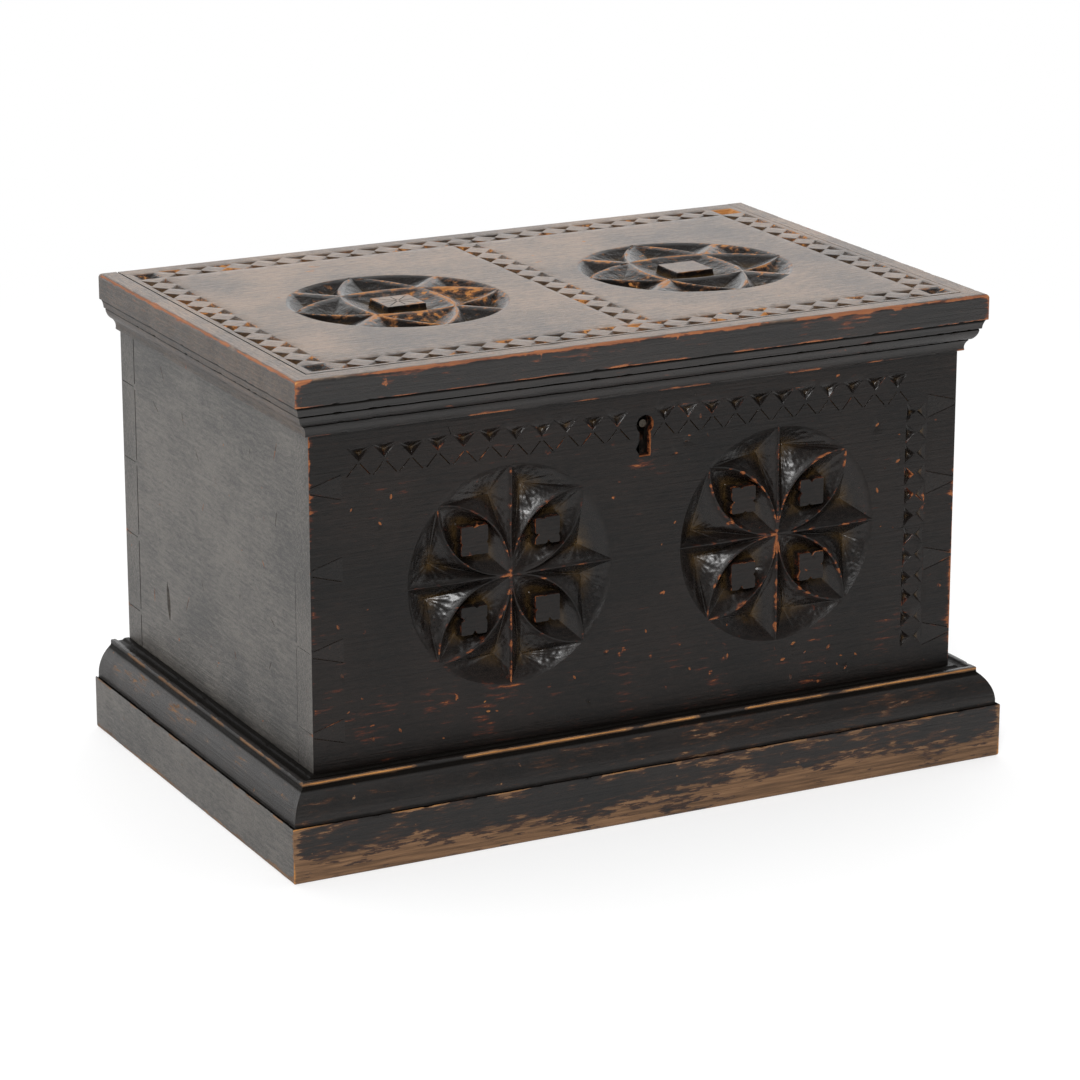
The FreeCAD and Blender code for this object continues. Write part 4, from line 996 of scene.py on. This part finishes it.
def kept(points, triangles):
    """A layer of packed triangles, each with corners of its own.

    Those on the ends of the box get the ends' lighter stain, partly painted sheen, and the mouth of the
    keyhole is rubbed.
    """
    corners = points[triangles]
    on_end = (np.abs(np.abs(corners[:, :, 0]) - front_high[0]) < TOUCH).all(axis=1)
    places = corners.reshape(-1, 3)
    off = np.abs(places - (KEYHOLE[0], front_low[1], KEYHOLE[1] - KEYHOLE_DROP))
    rubbed = KEYHOLE_WEAR * (off < KEYHOLE_REACH).all(axis=1)
    return places, np.arange(len(places)).reshape(-1, 3), rubbed, np.zeros(len(places)), np.repeat(on_end, 3)


def board(name, node, body, material, slot, layers):
    """A board from layers of points, faces, wear, depth and paleness, with its long edges eased."""
    offsets = np.cumsum([0] + [len(layer[0]) for layer in layers])
    faces = sum(((layer[1] + offset).tolist() for layer, offset in zip(layers, offsets)), [])
    points, rubbed, sunk, pale = (np.concatenate([layer[part] for layer in layers]) for part in (0, 2, 3, 4))
    ease(piece(name, points, faces, material, body, node, slot, rubbed=rubbed, sunk=sunk, pale=pale))


def carved_board(name, face, body, material, cuts, given_up, spots, wear, pale):
    """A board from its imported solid, with one face given up and carved anew."""
    triangles = face.triangles[~given_up]
    flat, ground_faces = ground(cuts, *face.rim(triangles), spots)
    level = np.zeros(len(flat))
    layers = [kept(face.points, triangles)]
    layers.append((face.solid(flat, level), ground_faces, wear(flat), level, level + pale))
    for cut in cuts:
        layers.append((face.solid(cut.spots, cut.depth), cut.quads, cut.rubbed, cut.sunk, cut.pale))
    board(name, face.node, body, material, "dark_stained_wood", layers)


LOOSE, EDGE_PITCH, EDGE_ROWS = 0.3, 3.0, (1.6, 3.6)


def fill(low, high, pitch):
    """Loose points over a rectangle, about a pitch apart, with closer rows beside its upright edges."""
    across, up = (np.arange(a + pitch / 2, b, pitch) for a, b in zip(low, high))
    grid = np.stack(np.meshgrid(across, up), axis=-1).reshape(-1, 2)
    heights = np.arange(low[1] + EDGE_PITCH / 2, high[1], EDGE_PITCH)
    columns = [low[0] + row for row in EDGE_ROWS] + [high[0] - row for row in EDGE_ROWS[::-1]]
    rows = [np.c_[np.full(len(heights), column), heights] for column in columns]
    return np.concatenate([grid + rng.uniform(-LOOSE, LOOSE, grid.shape) * pitch, *rows])


def rims(places, radius, count):
    """Points on a circle round each place, so that the ground has even triangles there."""
    return np.concatenate([compass(place, radius, 0, 360, count) for place in places])


# %% Front board
ROSETTE_MARGIN = 5.0
FRONT_LIMIT = 12.0
FINE_GAP = 0.4
PIN_ROOM, PIN_DEEP = 0.7, 10.0
PIN_ENDS = np.array([[0.05], [0.98]])
# The points of one pin or one nail are nearer to each other than this
APART = 10.0


def pin_lines(node):
    """Fine grooves on the front board along the pins of an end board, which show there as wedges.

    A pin's four corners are its points in the front face, and each line runs just outside a slanting side.
    """
    points, _ = packed(node)
    corners = points[np.abs(points[:, 1] - front_low[1]) < TOUCH][:, [0, 2]]
    corners = np.unique(np.round(corners, 2), axis=0)
    corners = corners[np.argsort(corners[:, 1])]
    lines = []
    for pin in np.split(corners, np.flatnonzero(np.diff(corners[:, 1]) > APART) + 1):
        tips = pin[np.abs(pin[:, 0]) > front_high[0] - 1]
        roots = pin[np.abs(pin[:, 0]) < front_high[0] - PIN_DEEP]
        for pick, side in ((np.argmin, -1), (np.argmax, 1)):
            start, stop = (ends[pick(ends[:, 1])] + (0, side * PIN_ROOM) for ends in (tips, roots))
            near_tip, near_root = start + PIN_ENDS * (stop - start)
            if near_tip[1] < front_high[2] - 2 and near_root[1] > front_low[2] + 2:
                lines.append(groove(near_tip, near_root, FINE_GAP, FINE_GAP, band_wear))
    return lines


front_joints = pin_lines("left_end_board") + pin_lines("right_end_board")
print("pins on the front:", len(front_joints), "lines")
front = Face("front_board", (1, 0, 0), (0, 0, 1))
front_spots = np.concatenate([
    fill(front.low, front.high, 6.0), rims(FRONT_PLACES, FRONT_RADIUS + 1.0, 180),
    rims([KEYHOLE_FOOT], 4.5, 16), rims([KEYHOLE_FOOT], 8.0, 20),
])
carved_board(
    "carved_front", front, "box", finishes["blackened_pine"],
    front_cuts + top_band + side_band + front_dents + front_joints,
    front.given_up(FRONT_PLACES, FRONT_RADIUS + ROSETTE_MARGIN, FRONT_LIMIT), front_spots, front_wear, 0.0)

# %% Lid board
LID_LIMIT = 8.0


def lid_ground_wear(spots):
    """The lid's ground is rubbed only inside its rosettes."""
    return lid_wear(spots) * (near(spots, LID_PLACES, LID_RADIUS) > 0)


lid = Face("lid_board", (1, 0, 0), (0, 1, 0))
lid_spots = np.concatenate([fill(lid.low, lid.high, 7.0), rims(LID_PLACES, LID_RADIUS + 1.0, 180)])
# The lid's ground takes the full lighter brown stain, partly painted sheen
carved_board(
    "carved_lid", lid, "lid", finishes["brown_varnished_pine"], lid_cuts + lid_bands,
    lid.given_up(LID_PLACES, LID_RADIUS + ROSETTE_MARGIN, LID_LIMIT), lid_spots, lid_ground_wear, 1.0)

# %% [markdown]
# ## End boards
# The ends are plain, so their age is all there is to see: a deep gash in the left one, some scratches,
# worn arrises, the lines of the dovetails, and a joint that has shrunk open at the back. Each is made as
# the carved boards are, with slits in place of chips.

# %% End boards
GASH = np.array([-77.6, 93.5])
GASH_LENGTH, GASH_WIDTH, GASH_TILT, GASH_DEPTH = 24.0, 5.0, 97.0, 1.6
# How much of the ends' lighter stain, partly painted sheen, the gash and the scratches take
GASH_BARE, GASH_PALE = 0.1, 0.6
SCRATCHES, SCRATCH_ROOM, SCRATCH_PALE = 16, 18.0, 0.7
SCRATCH_INSET = ((30, 50), (30, 25))
# The spans of a scratch's length, width, tilt and bareness
SCRATCH_SPANS = ((4, 15), (0.5, 0.9), (60, 150), (0.1, 1.0))
END_WEAR, END_REACH = 0.9, 2.2
LEFT_GAP, RIGHT_GAP = 0.9, 0.6
GAP_DEPTH = 3.0
GAP_INSET = 1.1
FINE_TOP = 150.0
TICK_HALF, TICK_ROOM = 0.42, 3


def end_board(node, side, gap):
    """An end board with slits and, along the back board, a gap; side is -1 on the left, 1 on the right."""
    face = Face(node, (0, side, 0), (0, 0, 1))
    edge_rub = mottle(40.0)

    def wear(spots):
        """Rubbed in places along the upright edges."""
        edge = np.minimum(spots[:, 0] - face.low[0], face.high[0] - spots[:, 0])
        return END_WEAR * np.exp(-edge / END_REACH) * np.clip(0.1 + edge_rub(spots), 0, 1)

    on_face = face.points[face.points @ face.frame[2] > face.level - TOUCH]
    slits = []
    for reach, inner, width, depth, top in (
        (back_high[1], back_low[1] - GAP_INSET, gap, GAP_DEPTH, face.high[1]),
        (front_low[1], front_high[1] + GAP_INSET, FINE_GAP, FINE_GAP, FINE_TOP),
    ):
        ends = on_face[np.abs(on_face[:, 1] - reach) < 0.1, 2]
        heights = np.unique(np.r_[face.low[1], np.round(ends, 1), face.high[1]])
        for low, high in zip(heights[:-1], heights[1:]):
            line = np.array([(side * inner, low + 1), (side * inner, high - 1)])
            if high - low < TICK_ROOM:
                tick = (inner + reach) / 2 + np.array([-TICK_HALF, TICK_HALF]) * (reach - inner)
                line = np.c_[side * tick, np.full(2, (low + high) / 2)]
            if low < top:
                slits.append(groove(*line, width if high - low > TICK_ROOM else FINE_GAP, depth, wear))
    if side < 0:
        slits.append(dent(GASH, GASH_LENGTH, GASH_WIDTH, GASH_TILT, GASH_DEPTH, wear, GASH_BARE, GASH_PALE))
    taken = np.concatenate([slit.spots for slit in slits])
    lowest, highest = face.low + SCRATCH_INSET[0], face.high - SCRATCH_INSET[1]
    for place in scattered(lowest, highest, SCRATCHES, taken, SCRATCH_ROOM):
        length, width, tilt, bare = (rng.uniform(*span) for span in SCRATCH_SPANS)
        slits.append(dent(place, length, width, tilt, DENT_DEPTH, wear, bare, SCRATCH_PALE))
    # The end's face takes the full lighter grey stain, partly painted sheen
    carved_board(
        "aged_" + node, face, "box", finishes["blackened_pine_ends"], slits,
        face.given_up([GASH], 0.0, 0.0), fill(face.low, face.high, 9.0), wear, 1.0)


end_board("left_end_board", -1, LEFT_GAP)
end_board("right_end_board", 1, RIGHT_GAP)

# %% [markdown]
# ## Back and bottom
# No carver touched these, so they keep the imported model's shape, in a welded copy with eased edges. The
# back has the front's finish outside, and the bottom was planed and left bare.

# %% Plain boards
RINGS = (6.0, 160.0)
LATE_WOOD = "#7a5a3a"
PLANED_ROUGH, PLANED_RELIEF = 0.75, 0.4
# Planed pine, never finished: matt, yellow-brown, with darker late wood
planed_pine, tree, shader = new_material("planed_pine")
coords = add(tree, "ShaderNodeTexCoord", {}, "Object")
rings, fibres = (streaks(tree, coords, "X", *size) for size in (RINGS, GRAIN))
ringed = add(
    tree, "ShaderNodeMix", {"Factor": rings, 6: BARE_WOOD[0], 7: BARE_WOOD[1]}, 2, data_type="RGBA")
colour = add(tree, "ShaderNodeMix", {"Factor": fibres, 6: ringed, 7: LATE_WOOD}, 2, data_type="RGBA")
bump = add(tree, "ShaderNodeBump", {"Height": fibres, "Strength": PLANED_RELIEF, "Distance": FILM * MM})
feed(tree, shader, {"Base Color": colour, "Roughness": PLANED_ROUGH, "Normal": bump})
for node, material, slot in (
    ("back_board", finishes["blackened_pine"], "dark_stained_wood"),
    ("bottom_board", planed_pine, "bare_wood"),
):
    board("eased_" + node, node, "box", material, slot, [kept(*packed(node))])

# %% [markdown]
# ## Mouldings
# A moulding is one profile planed along a length and mitred at the corner. So it is a surface over two
# parameters, a point of the profile and a place along the run. Wear belongs to the same grid: it is
# strongest near chosen arrises of the profile, comes and goes along the run, and takes a little wood with
# it.


# %% Moulding profiles
def bent(start, stop, radius, count):
    """Points on an arc between two ends, the last left out; a positive radius bulges to the right."""
    start, stop = np.asarray(start, float), np.asarray(stop, float)
    chord = stop - start
    rise = math.copysign(math.sqrt(radius**2 - chord @ chord / 4), radius)
    centre = (start + stop) / 2 + rise * np.array([-chord[1], chord[0]]) / np.linalg.norm(chord)
    first, last = (math.degrees(math.atan2(*(end - centre)[::-1])) for end in (start, stop))
    return compass(centre, abs(radius), first, first + (last - first + 180) % 360 - 180, count)


def softened(steps, pitch):
    """A closed profile walked at an even pitch, with each point averaged with its neighbours.

    A step is a point to go straight to, or a point, the radius of the arc that leads there and its points.
    """
    ways = [
        bent(start[:2], step[:2], *step[2:]) if step[2:] else np.array([start[:2]])
        for start, step in zip(steps, steps[1:] + steps[:1])
    ]
    ring = np.concatenate([*ways, ways[0][:1]])
    walked = np.r_[0, np.cumsum(np.linalg.norm(np.diff(ring, axis=0), axis=1))]
    marks = np.linspace(0, walked[-1], int(walked[-1] / pitch), endpoint=False)
    points = np.c_[np.interp(marks, walked, ring[:, 0]), np.interp(marks, walked, ring[:, 1])]
    return (np.roll(points, 1, axis=0) + 2 * points + np.roll(points, -1, axis=0)) / 4


# A fascia, a quirk, an ovolo and a flat ledge with a groove behind it
BASE_PROFILE = [
    (0, 0), (21, 0), (22.5, 1.5, 1.5, 4), (22.5, 32), (21.6, 32), (21.0, 30.6), (20.4, 32),
    (12, 50.5, 22, 12), (12, 53.5), (9, 53.5), (7.6, 52.2), (4.4, 52.2), (3.6, 53.2), (0, 53.2),
]
# A hollow, a round and a hollow, parted by quirks, below a fascia. The inner top corner is taken off,
# which leaves a dark line between the moulding and the lid board
LID_PROFILE = [
    (0, 0), (2.5, 0), (4.2, 6.3, -6, 8), (3.3, 7.4), (5, 6.8), (8.4, 12.8, 8, 8), (7.4, 14), (9.4, 13.4),
    (11, 19, -12, 8), (12, 19), (12, 32), (10, 34, 2, 5), (0.7, 34), (0, 33.2),
]
base_profile, lid_profile = softened(BASE_PROFILE, 0.6), softened(LID_PROFILE, 0.42)
print("profiles:", len(base_profile), "and", len(lid_profile), "points")


# %% Moulding surfaces
def waves(places, size):
    """A smooth random line: six sine waves about a size long, mostly within -1 and 1."""
    pace = 2 * np.pi / size * rng.uniform(0.5, 2.0, 6)
    return np.sin(places[:, None] * pace + rng.uniform(0, 2 * np.pi, 6)).sum(axis=1) / 2.2


def stretches(places, size, share):
    """Where a worn stretch runs: about a share of the length, with soft ends."""
    return np.clip(0.5 + 2.5 * (waves(places, size) + 1.6 * share - 0.8), 0, 1)


def nail_heads(node, axis, level):
    """Where the nails of a node come through a face across an axis: places along the run and heights."""
    along = 1 - axis
    points, _ = packed(node)
    points = points[np.abs(points[:, axis] - level) < 0.3]
    points = points[np.argsort(points[:, along])]
    groups = np.split(points, np.flatnonzero(np.diff(points[:, along]) > APART) + 1)
    return [(group[:, along].mean(), group[:, 2].mean()) for group in groups]


STATION = 1.6
CHIP_SIZE, CHIP_DEPTH, CHIP_FROM = 14.0, 0.7, 0.75
ARRIS_TURN, OUTERMOST = 0.5, 0.7
MITRE_WEAR, MITRE_REACH = 0.75, 2.5
NOOK_TURN = 0.5
# The nook colour is spread over a few profile points below each nook: a painted shadow line under each
# ledge, with its dust
NOOK_SHADE_SPREAD = (1, 0, -1, -2, -3)
NAIL_COVER, NAIL_REACH, NAIL_EDGE = 0.06, 2.4, 0.2
RUB_DEPTH, WAVE_DEPTH, WAVE_SIZE = 0.12, 0.1, 50.0
FADE_RUN = 5.0


def moulding(node, body, finish, profile, side, wall, level, pale, ledge, rubs, nails, nail_wear):
    """A moulding on one side of the box: the profile's out and rise at each station, from mitre to mitre.

    Wall is (half width, front y, back y). Each rub is a place on the profile, a reach, an amount, the share
    of the length that it runs along and how long its stretches are; it gives amount times e to the
    -(distance / reach) squared. The lighter stain, partly painted sheen, and the ledge, where dust and
    painted shade lie, are given at each point of the profile, and the nooks are painted dark as dust and
    painted shade too. The nails are covered, and rubbed by their wear.
    """
    half, front, back = wall
    length = 2 * half if side == "front" else back - front
    run = np.linspace(0, 1, int(length / STATION))
    walked = run * length
    to_go = length - walked
    nearest = np.minimum(walked, to_go)
    ahead, behind = np.roll(profile, -1, axis=0) - profile, profile - np.roll(profile, 1, axis=0)
    bend = behind[:, 0] * ahead[:, 1] - behind[:, 1] * ahead[:, 0]
    turning = np.arctan2(bend, (ahead * behind).sum(axis=1))
    outward = np.c_[(ahead + behind)[:, 1], -(ahead + behind)[:, 0]]
    outward /= np.linalg.norm(outward, axis=1)[:, None]
    from_mitre = {"front": nearest, "left": to_go, "right": walked}[side]
    outermost = profile[:, 0] > profile[:, 0].max() - OUTERMOST
    rubbed = MITRE_WEAR * np.exp(-from_mitre / MITRE_REACH)[:, None] * outermost
    for place, reach, amount, share, size in rubs:
        away = np.linalg.norm(profile - place, axis=1) / reach
        rubbed = rubbed + amount * np.exp(-(away**2)) * stretches(walked, size, share)[:, None]
    # Nooks, points just below them and the ledge are painted near black: dust and painted shade
    nooks = np.clip(-turning / NOOK_TURN, 0, 1)
    dusty = np.max([np.roll(nooks, shift) for shift in NOOK_SHADE_SPREAD] + [ledge + 0 * nooks], axis=0)
    shown = (profile[:, 0] > 1) & (profile[:, 1] > 0.3)
    arris = np.clip(turning / ARRIS_TURN, 0, 1)
    chipped = np.clip(waves(walked, CHIP_SIZE) - CHIP_FROM, 0, 1)[:, None] * arris * CHIP_DEPTH
    hollowed = RUB_DEPTH * np.clip(rubbed, 0, 2) + WAVE_DEPTH * waves(walked, WAVE_SIZE)[:, None]
    fade = np.clip(nearest / FADE_RUN, 0, 1)[:, None]
    sunk = (chipped + np.clip(hollowed, 0, 1)) * fade * shown
    run = run[:, None]

    def placed(out, rise):
        """Points in space from the profile's out and rise at each station."""
        height = level + rise + 0 * run
        if side == "front":
            return np.stack([(2 * run - 1) * (half + out), front - out + 0 * run, height], axis=-1)
        sign, backward = (1, run) if side == "right" else (-1, 1 - run)
        across, inward = sign * (half + out) + 0 * run, (front - out) + backward * (back - front + out)
        return np.stack([across, inward, height], axis=-1)

    flat = placed(*profile.T)[:, :, [0 if side == "front" else 1, 2]]
    for nail in nails:
        close = np.exp(-((np.linalg.norm(flat - nail, axis=2) / NAIL_REACH) ** 2)) * outermost
        rubbed = rubbed + nail_wear * close
        sunk = sunk * (1 - close) - NAIL_COVER * (close > NAIL_EDGE)
    shaped = profile - sunk[:, :, None] * outward
    points = placed(shaped[:, :, 0], shaped[:, :, 1])
    count = len(profile)
    here = np.arange(count)
    after = np.roll(here, -1)
    ring = np.stack([here, here + count, after + count, after], axis=1)
    quads = (ring + count * np.arange(len(run) - 1)[:, None, None]).reshape(-1, 4).tolist()
    caps = [here.tolist(), (here[::-1] + count * (len(run) - 1)).tolist()]
    pale, dusty = (np.broadcast_to(values, rubbed.shape).reshape(-1) for values in (pale, dusty))
    return piece(
        "planed_" + node, points.reshape(-1, 3), quads + caps, finishes[finish], body, node,
        "dark_stained_wood", rubbed=rubbed.reshape(-1), pale=pale, dusty=dusty)


# %% Base mouldings
BASE_TOP, BASE_LEDGE, BASE_FOOT = (12, 52.3), (22.5, 32), (22.5, 1)
BASE_FASCIA, BASE_UPPER, BASE_ROUND = (22.5, 3), (22.5, 30), (17, 44)
BASE_FRONT_RUBS = [
    (BASE_FASCIA, 16.0, 0.9, 3.0, 90.0), (BASE_UPPER, 5.0, 0.4, 0.9, 60.0), (BASE_TOP, 1.1, 1.6, 0.9, 90.0),
    (BASE_LEDGE, 0.8, 1.4, 0.45, 90.0), (BASE_ROUND, 8.0, 0.36, 1.0, 60.0),
]
BASE_SIDE_RUBS = [
    (BASE_FOOT, 2.5, 0.95, 0.8, 90.0), (BASE_TOP, 1.2, 1.2, 0.6, 60.0), (BASE_LEDGE, 1.3, 1.1, 0.5, 50.0),
    (BASE_ROUND, 8.0, 0.35, 0.9, 40.0),
]
NAIL_WEAR = 0.5
# The fascia at the sides takes the lighter stain as painted sheen, and the ledge behind the ovolo is painted
# near black as dust and painted shade
FASCIA_SHEEN, FASCIA_OUT = 0.9, 22.0
LEDGE_DUST_AND_SHADE, LEDGE_OUT, LEDGE_RISE = 0.85, 8.5, 51.0
base_wall = (front_high[0], front_low[1], back_high[1])
base_pale = FASCIA_SHEEN * (base_profile[:, 0] > FASCIA_OUT)
base_ledge = LEDGE_DUST_AND_SHADE * ((base_profile[:, 1] > LEDGE_RISE) & (base_profile[:, 0] < LEDGE_OUT))
nails_low, nails_high = board_box("base_nails")
for side, finish, pale, rubs, axis, level in (
    ("front", "worn_pine_base", 0.0, BASE_FRONT_RUBS, 1, nails_low[1]),
    ("left", "worn_pine_base_sides", base_pale, BASE_SIDE_RUBS, 0, nails_low[0]),
    ("right", "worn_pine_base_sides", base_pale, BASE_SIDE_RUBS, 0, nails_high[0]),
):
    moulding("base_moulding_" + side, "box", finish, base_profile, side, base_wall, 0.0, pale, base_ledge,
             rubs, nail_heads("base_nails", axis, level), NAIL_WEAR)

# %% Lid mouldings
LID_ARRIS, LID_FASCIA, LID_DRIP, LID_FOOT = (11.5, 33.5), (12, 30), (12, 19.3), (2.5, 0)
LID_FRONT_RUBS = [
    (LID_ARRIS, 1.4, 0.9, 1.2, 70.0), (LID_FASCIA, 5.0, 0.3, 0.8, 60.0), (LID_DRIP, 0.7, 0.75, 0.8, 50.0),
    (LID_FOOT, 1.0, 0.8, 0.35, 90.0),
]
LID_SIDE_RUBS = [
    (LID_ARRIS, 1.0, 1.0, 1.3, 90.0), (LID_FASCIA, 6.0, 0.3, 0.6, 60.0), (LID_DRIP, 0.9, 0.4, 0.4, 60.0),
]
# The lip's top, and less its sides, take the lighter brown stain, partly painted sheen
SIDE_SHEEN, TOP_FROM = 0.45, 32.5
lid_wall = (lid_high[0], lid_low[1], lid_high[1])
lip_level = board_box("lid_moulding_front")[0][2]
lip_top = np.clip(lid_profile[:, 1] - TOP_FROM, 0, 1)
lip_sides = np.maximum(lip_top, SIDE_SHEEN)
brads_low, brads_high = board_box("lid_brads")
for side, finish, pale, rubs, axis, level in (
    ("front", "blackened_pine_lip", lip_top, LID_FRONT_RUBS, 1, brads_low[1]),
    ("left", "blackened_pine_lip_sides", lip_sides, LID_SIDE_RUBS, 0, brads_low[0]),
    ("right", "blackened_pine_lip_sides", lip_sides, LID_SIDE_RUBS, 0, brads_high[0]),
):
    moulding("lid_moulding_" + side, "lid", finish, lid_profile, side, lid_wall, lip_level, pale, 0.0,
             rubs, nail_heads("lid_brads", axis, level), 0.0)

# %% [markdown]
# ## Iron and steel
# Hinges, lock and nails are old iron, dark with scale and rust. The bolt, its spring and the pin that
# the key turns on are filed steel, more even and less rusty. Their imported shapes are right, so they only
# get finishes.

# %% Iron and steel
RUST_SIZE, RUST_EDGE, RUST_ROUGH = 6.0, 0.12, 0.85
PIT_SIZE, PIT_DEPTH, PIT_RELIEF = 0.7, 0.2, 0.5


def old_metal(name, bright, dark, rust, rust_from, roughness):
    """A metal between two colours by noise, with dull rust where a slower noise passes a level."""
    material, tree, shader = new_material(name)
    coords = add(tree, "ShaderNodeTexCoord", {}, "Object")
    pits, spread = (
        add(tree, "ShaderNodeTexNoise", {"Vector": coords, "Scale": 1 / (size * MM), "Detail": 5.0})
        for size in (PIT_SIZE, RUST_SIZE))
    rusty = add(tree, "ShaderNodeMapRange", {
        "Value": spread, "From Min": rust_from, "From Max": rust_from + RUST_EDGE},
        interpolation_type="SMOOTHSTEP")
    colour = dark
    for share, over in ((pits, bright), (rusty, rust)):
        colour = add(tree, "ShaderNodeMix", {"Factor": share, 6: colour, 7: over}, 2, data_type="RGBA")
    metallic, rough = (
        add(tree, "ShaderNodeMapRange", {"Value": rusty, "To Min": clean, "To Max": rusted})
        for clean, rusted in ((1.0, 0.0), (roughness, RUST_ROUGH)))
    bump = add(tree, "ShaderNodeBump", {
        "Height": pits, "Strength": PIT_RELIEF, "Distance": PIT_DEPTH * MM})
    feed(tree, shader, {"Base Color": colour, "Metallic": metallic, "Roughness": rough, "Normal": bump})
    return material


# Forged iron: dark scale that hardly shines, with brown rust in patches
forged_iron = old_metal("forged_iron", "#6b655e", "#2b2724", "#4a2c1b", 0.52, 0.5)
# Filed steel: dull grey with a tan cast, rusted only in spots
filed_steel = old_metal("filed_steel", "#5c564e", "#35312c", "#5c3a24", 0.6, 0.5)
metals = {"iron": forged_iron, "steel": filed_steel}
dressed = 0
for entry in frame["record"]["subparts"]:
    node, slot = entry["node"], entry["material_slot"]
    if slot in metals:
        slots = frame["nodes"][node].data.materials
        slots.clear()
        slots.append(metals[slot])
        dressed += 1
print("metal nodes dressed:", dressed)
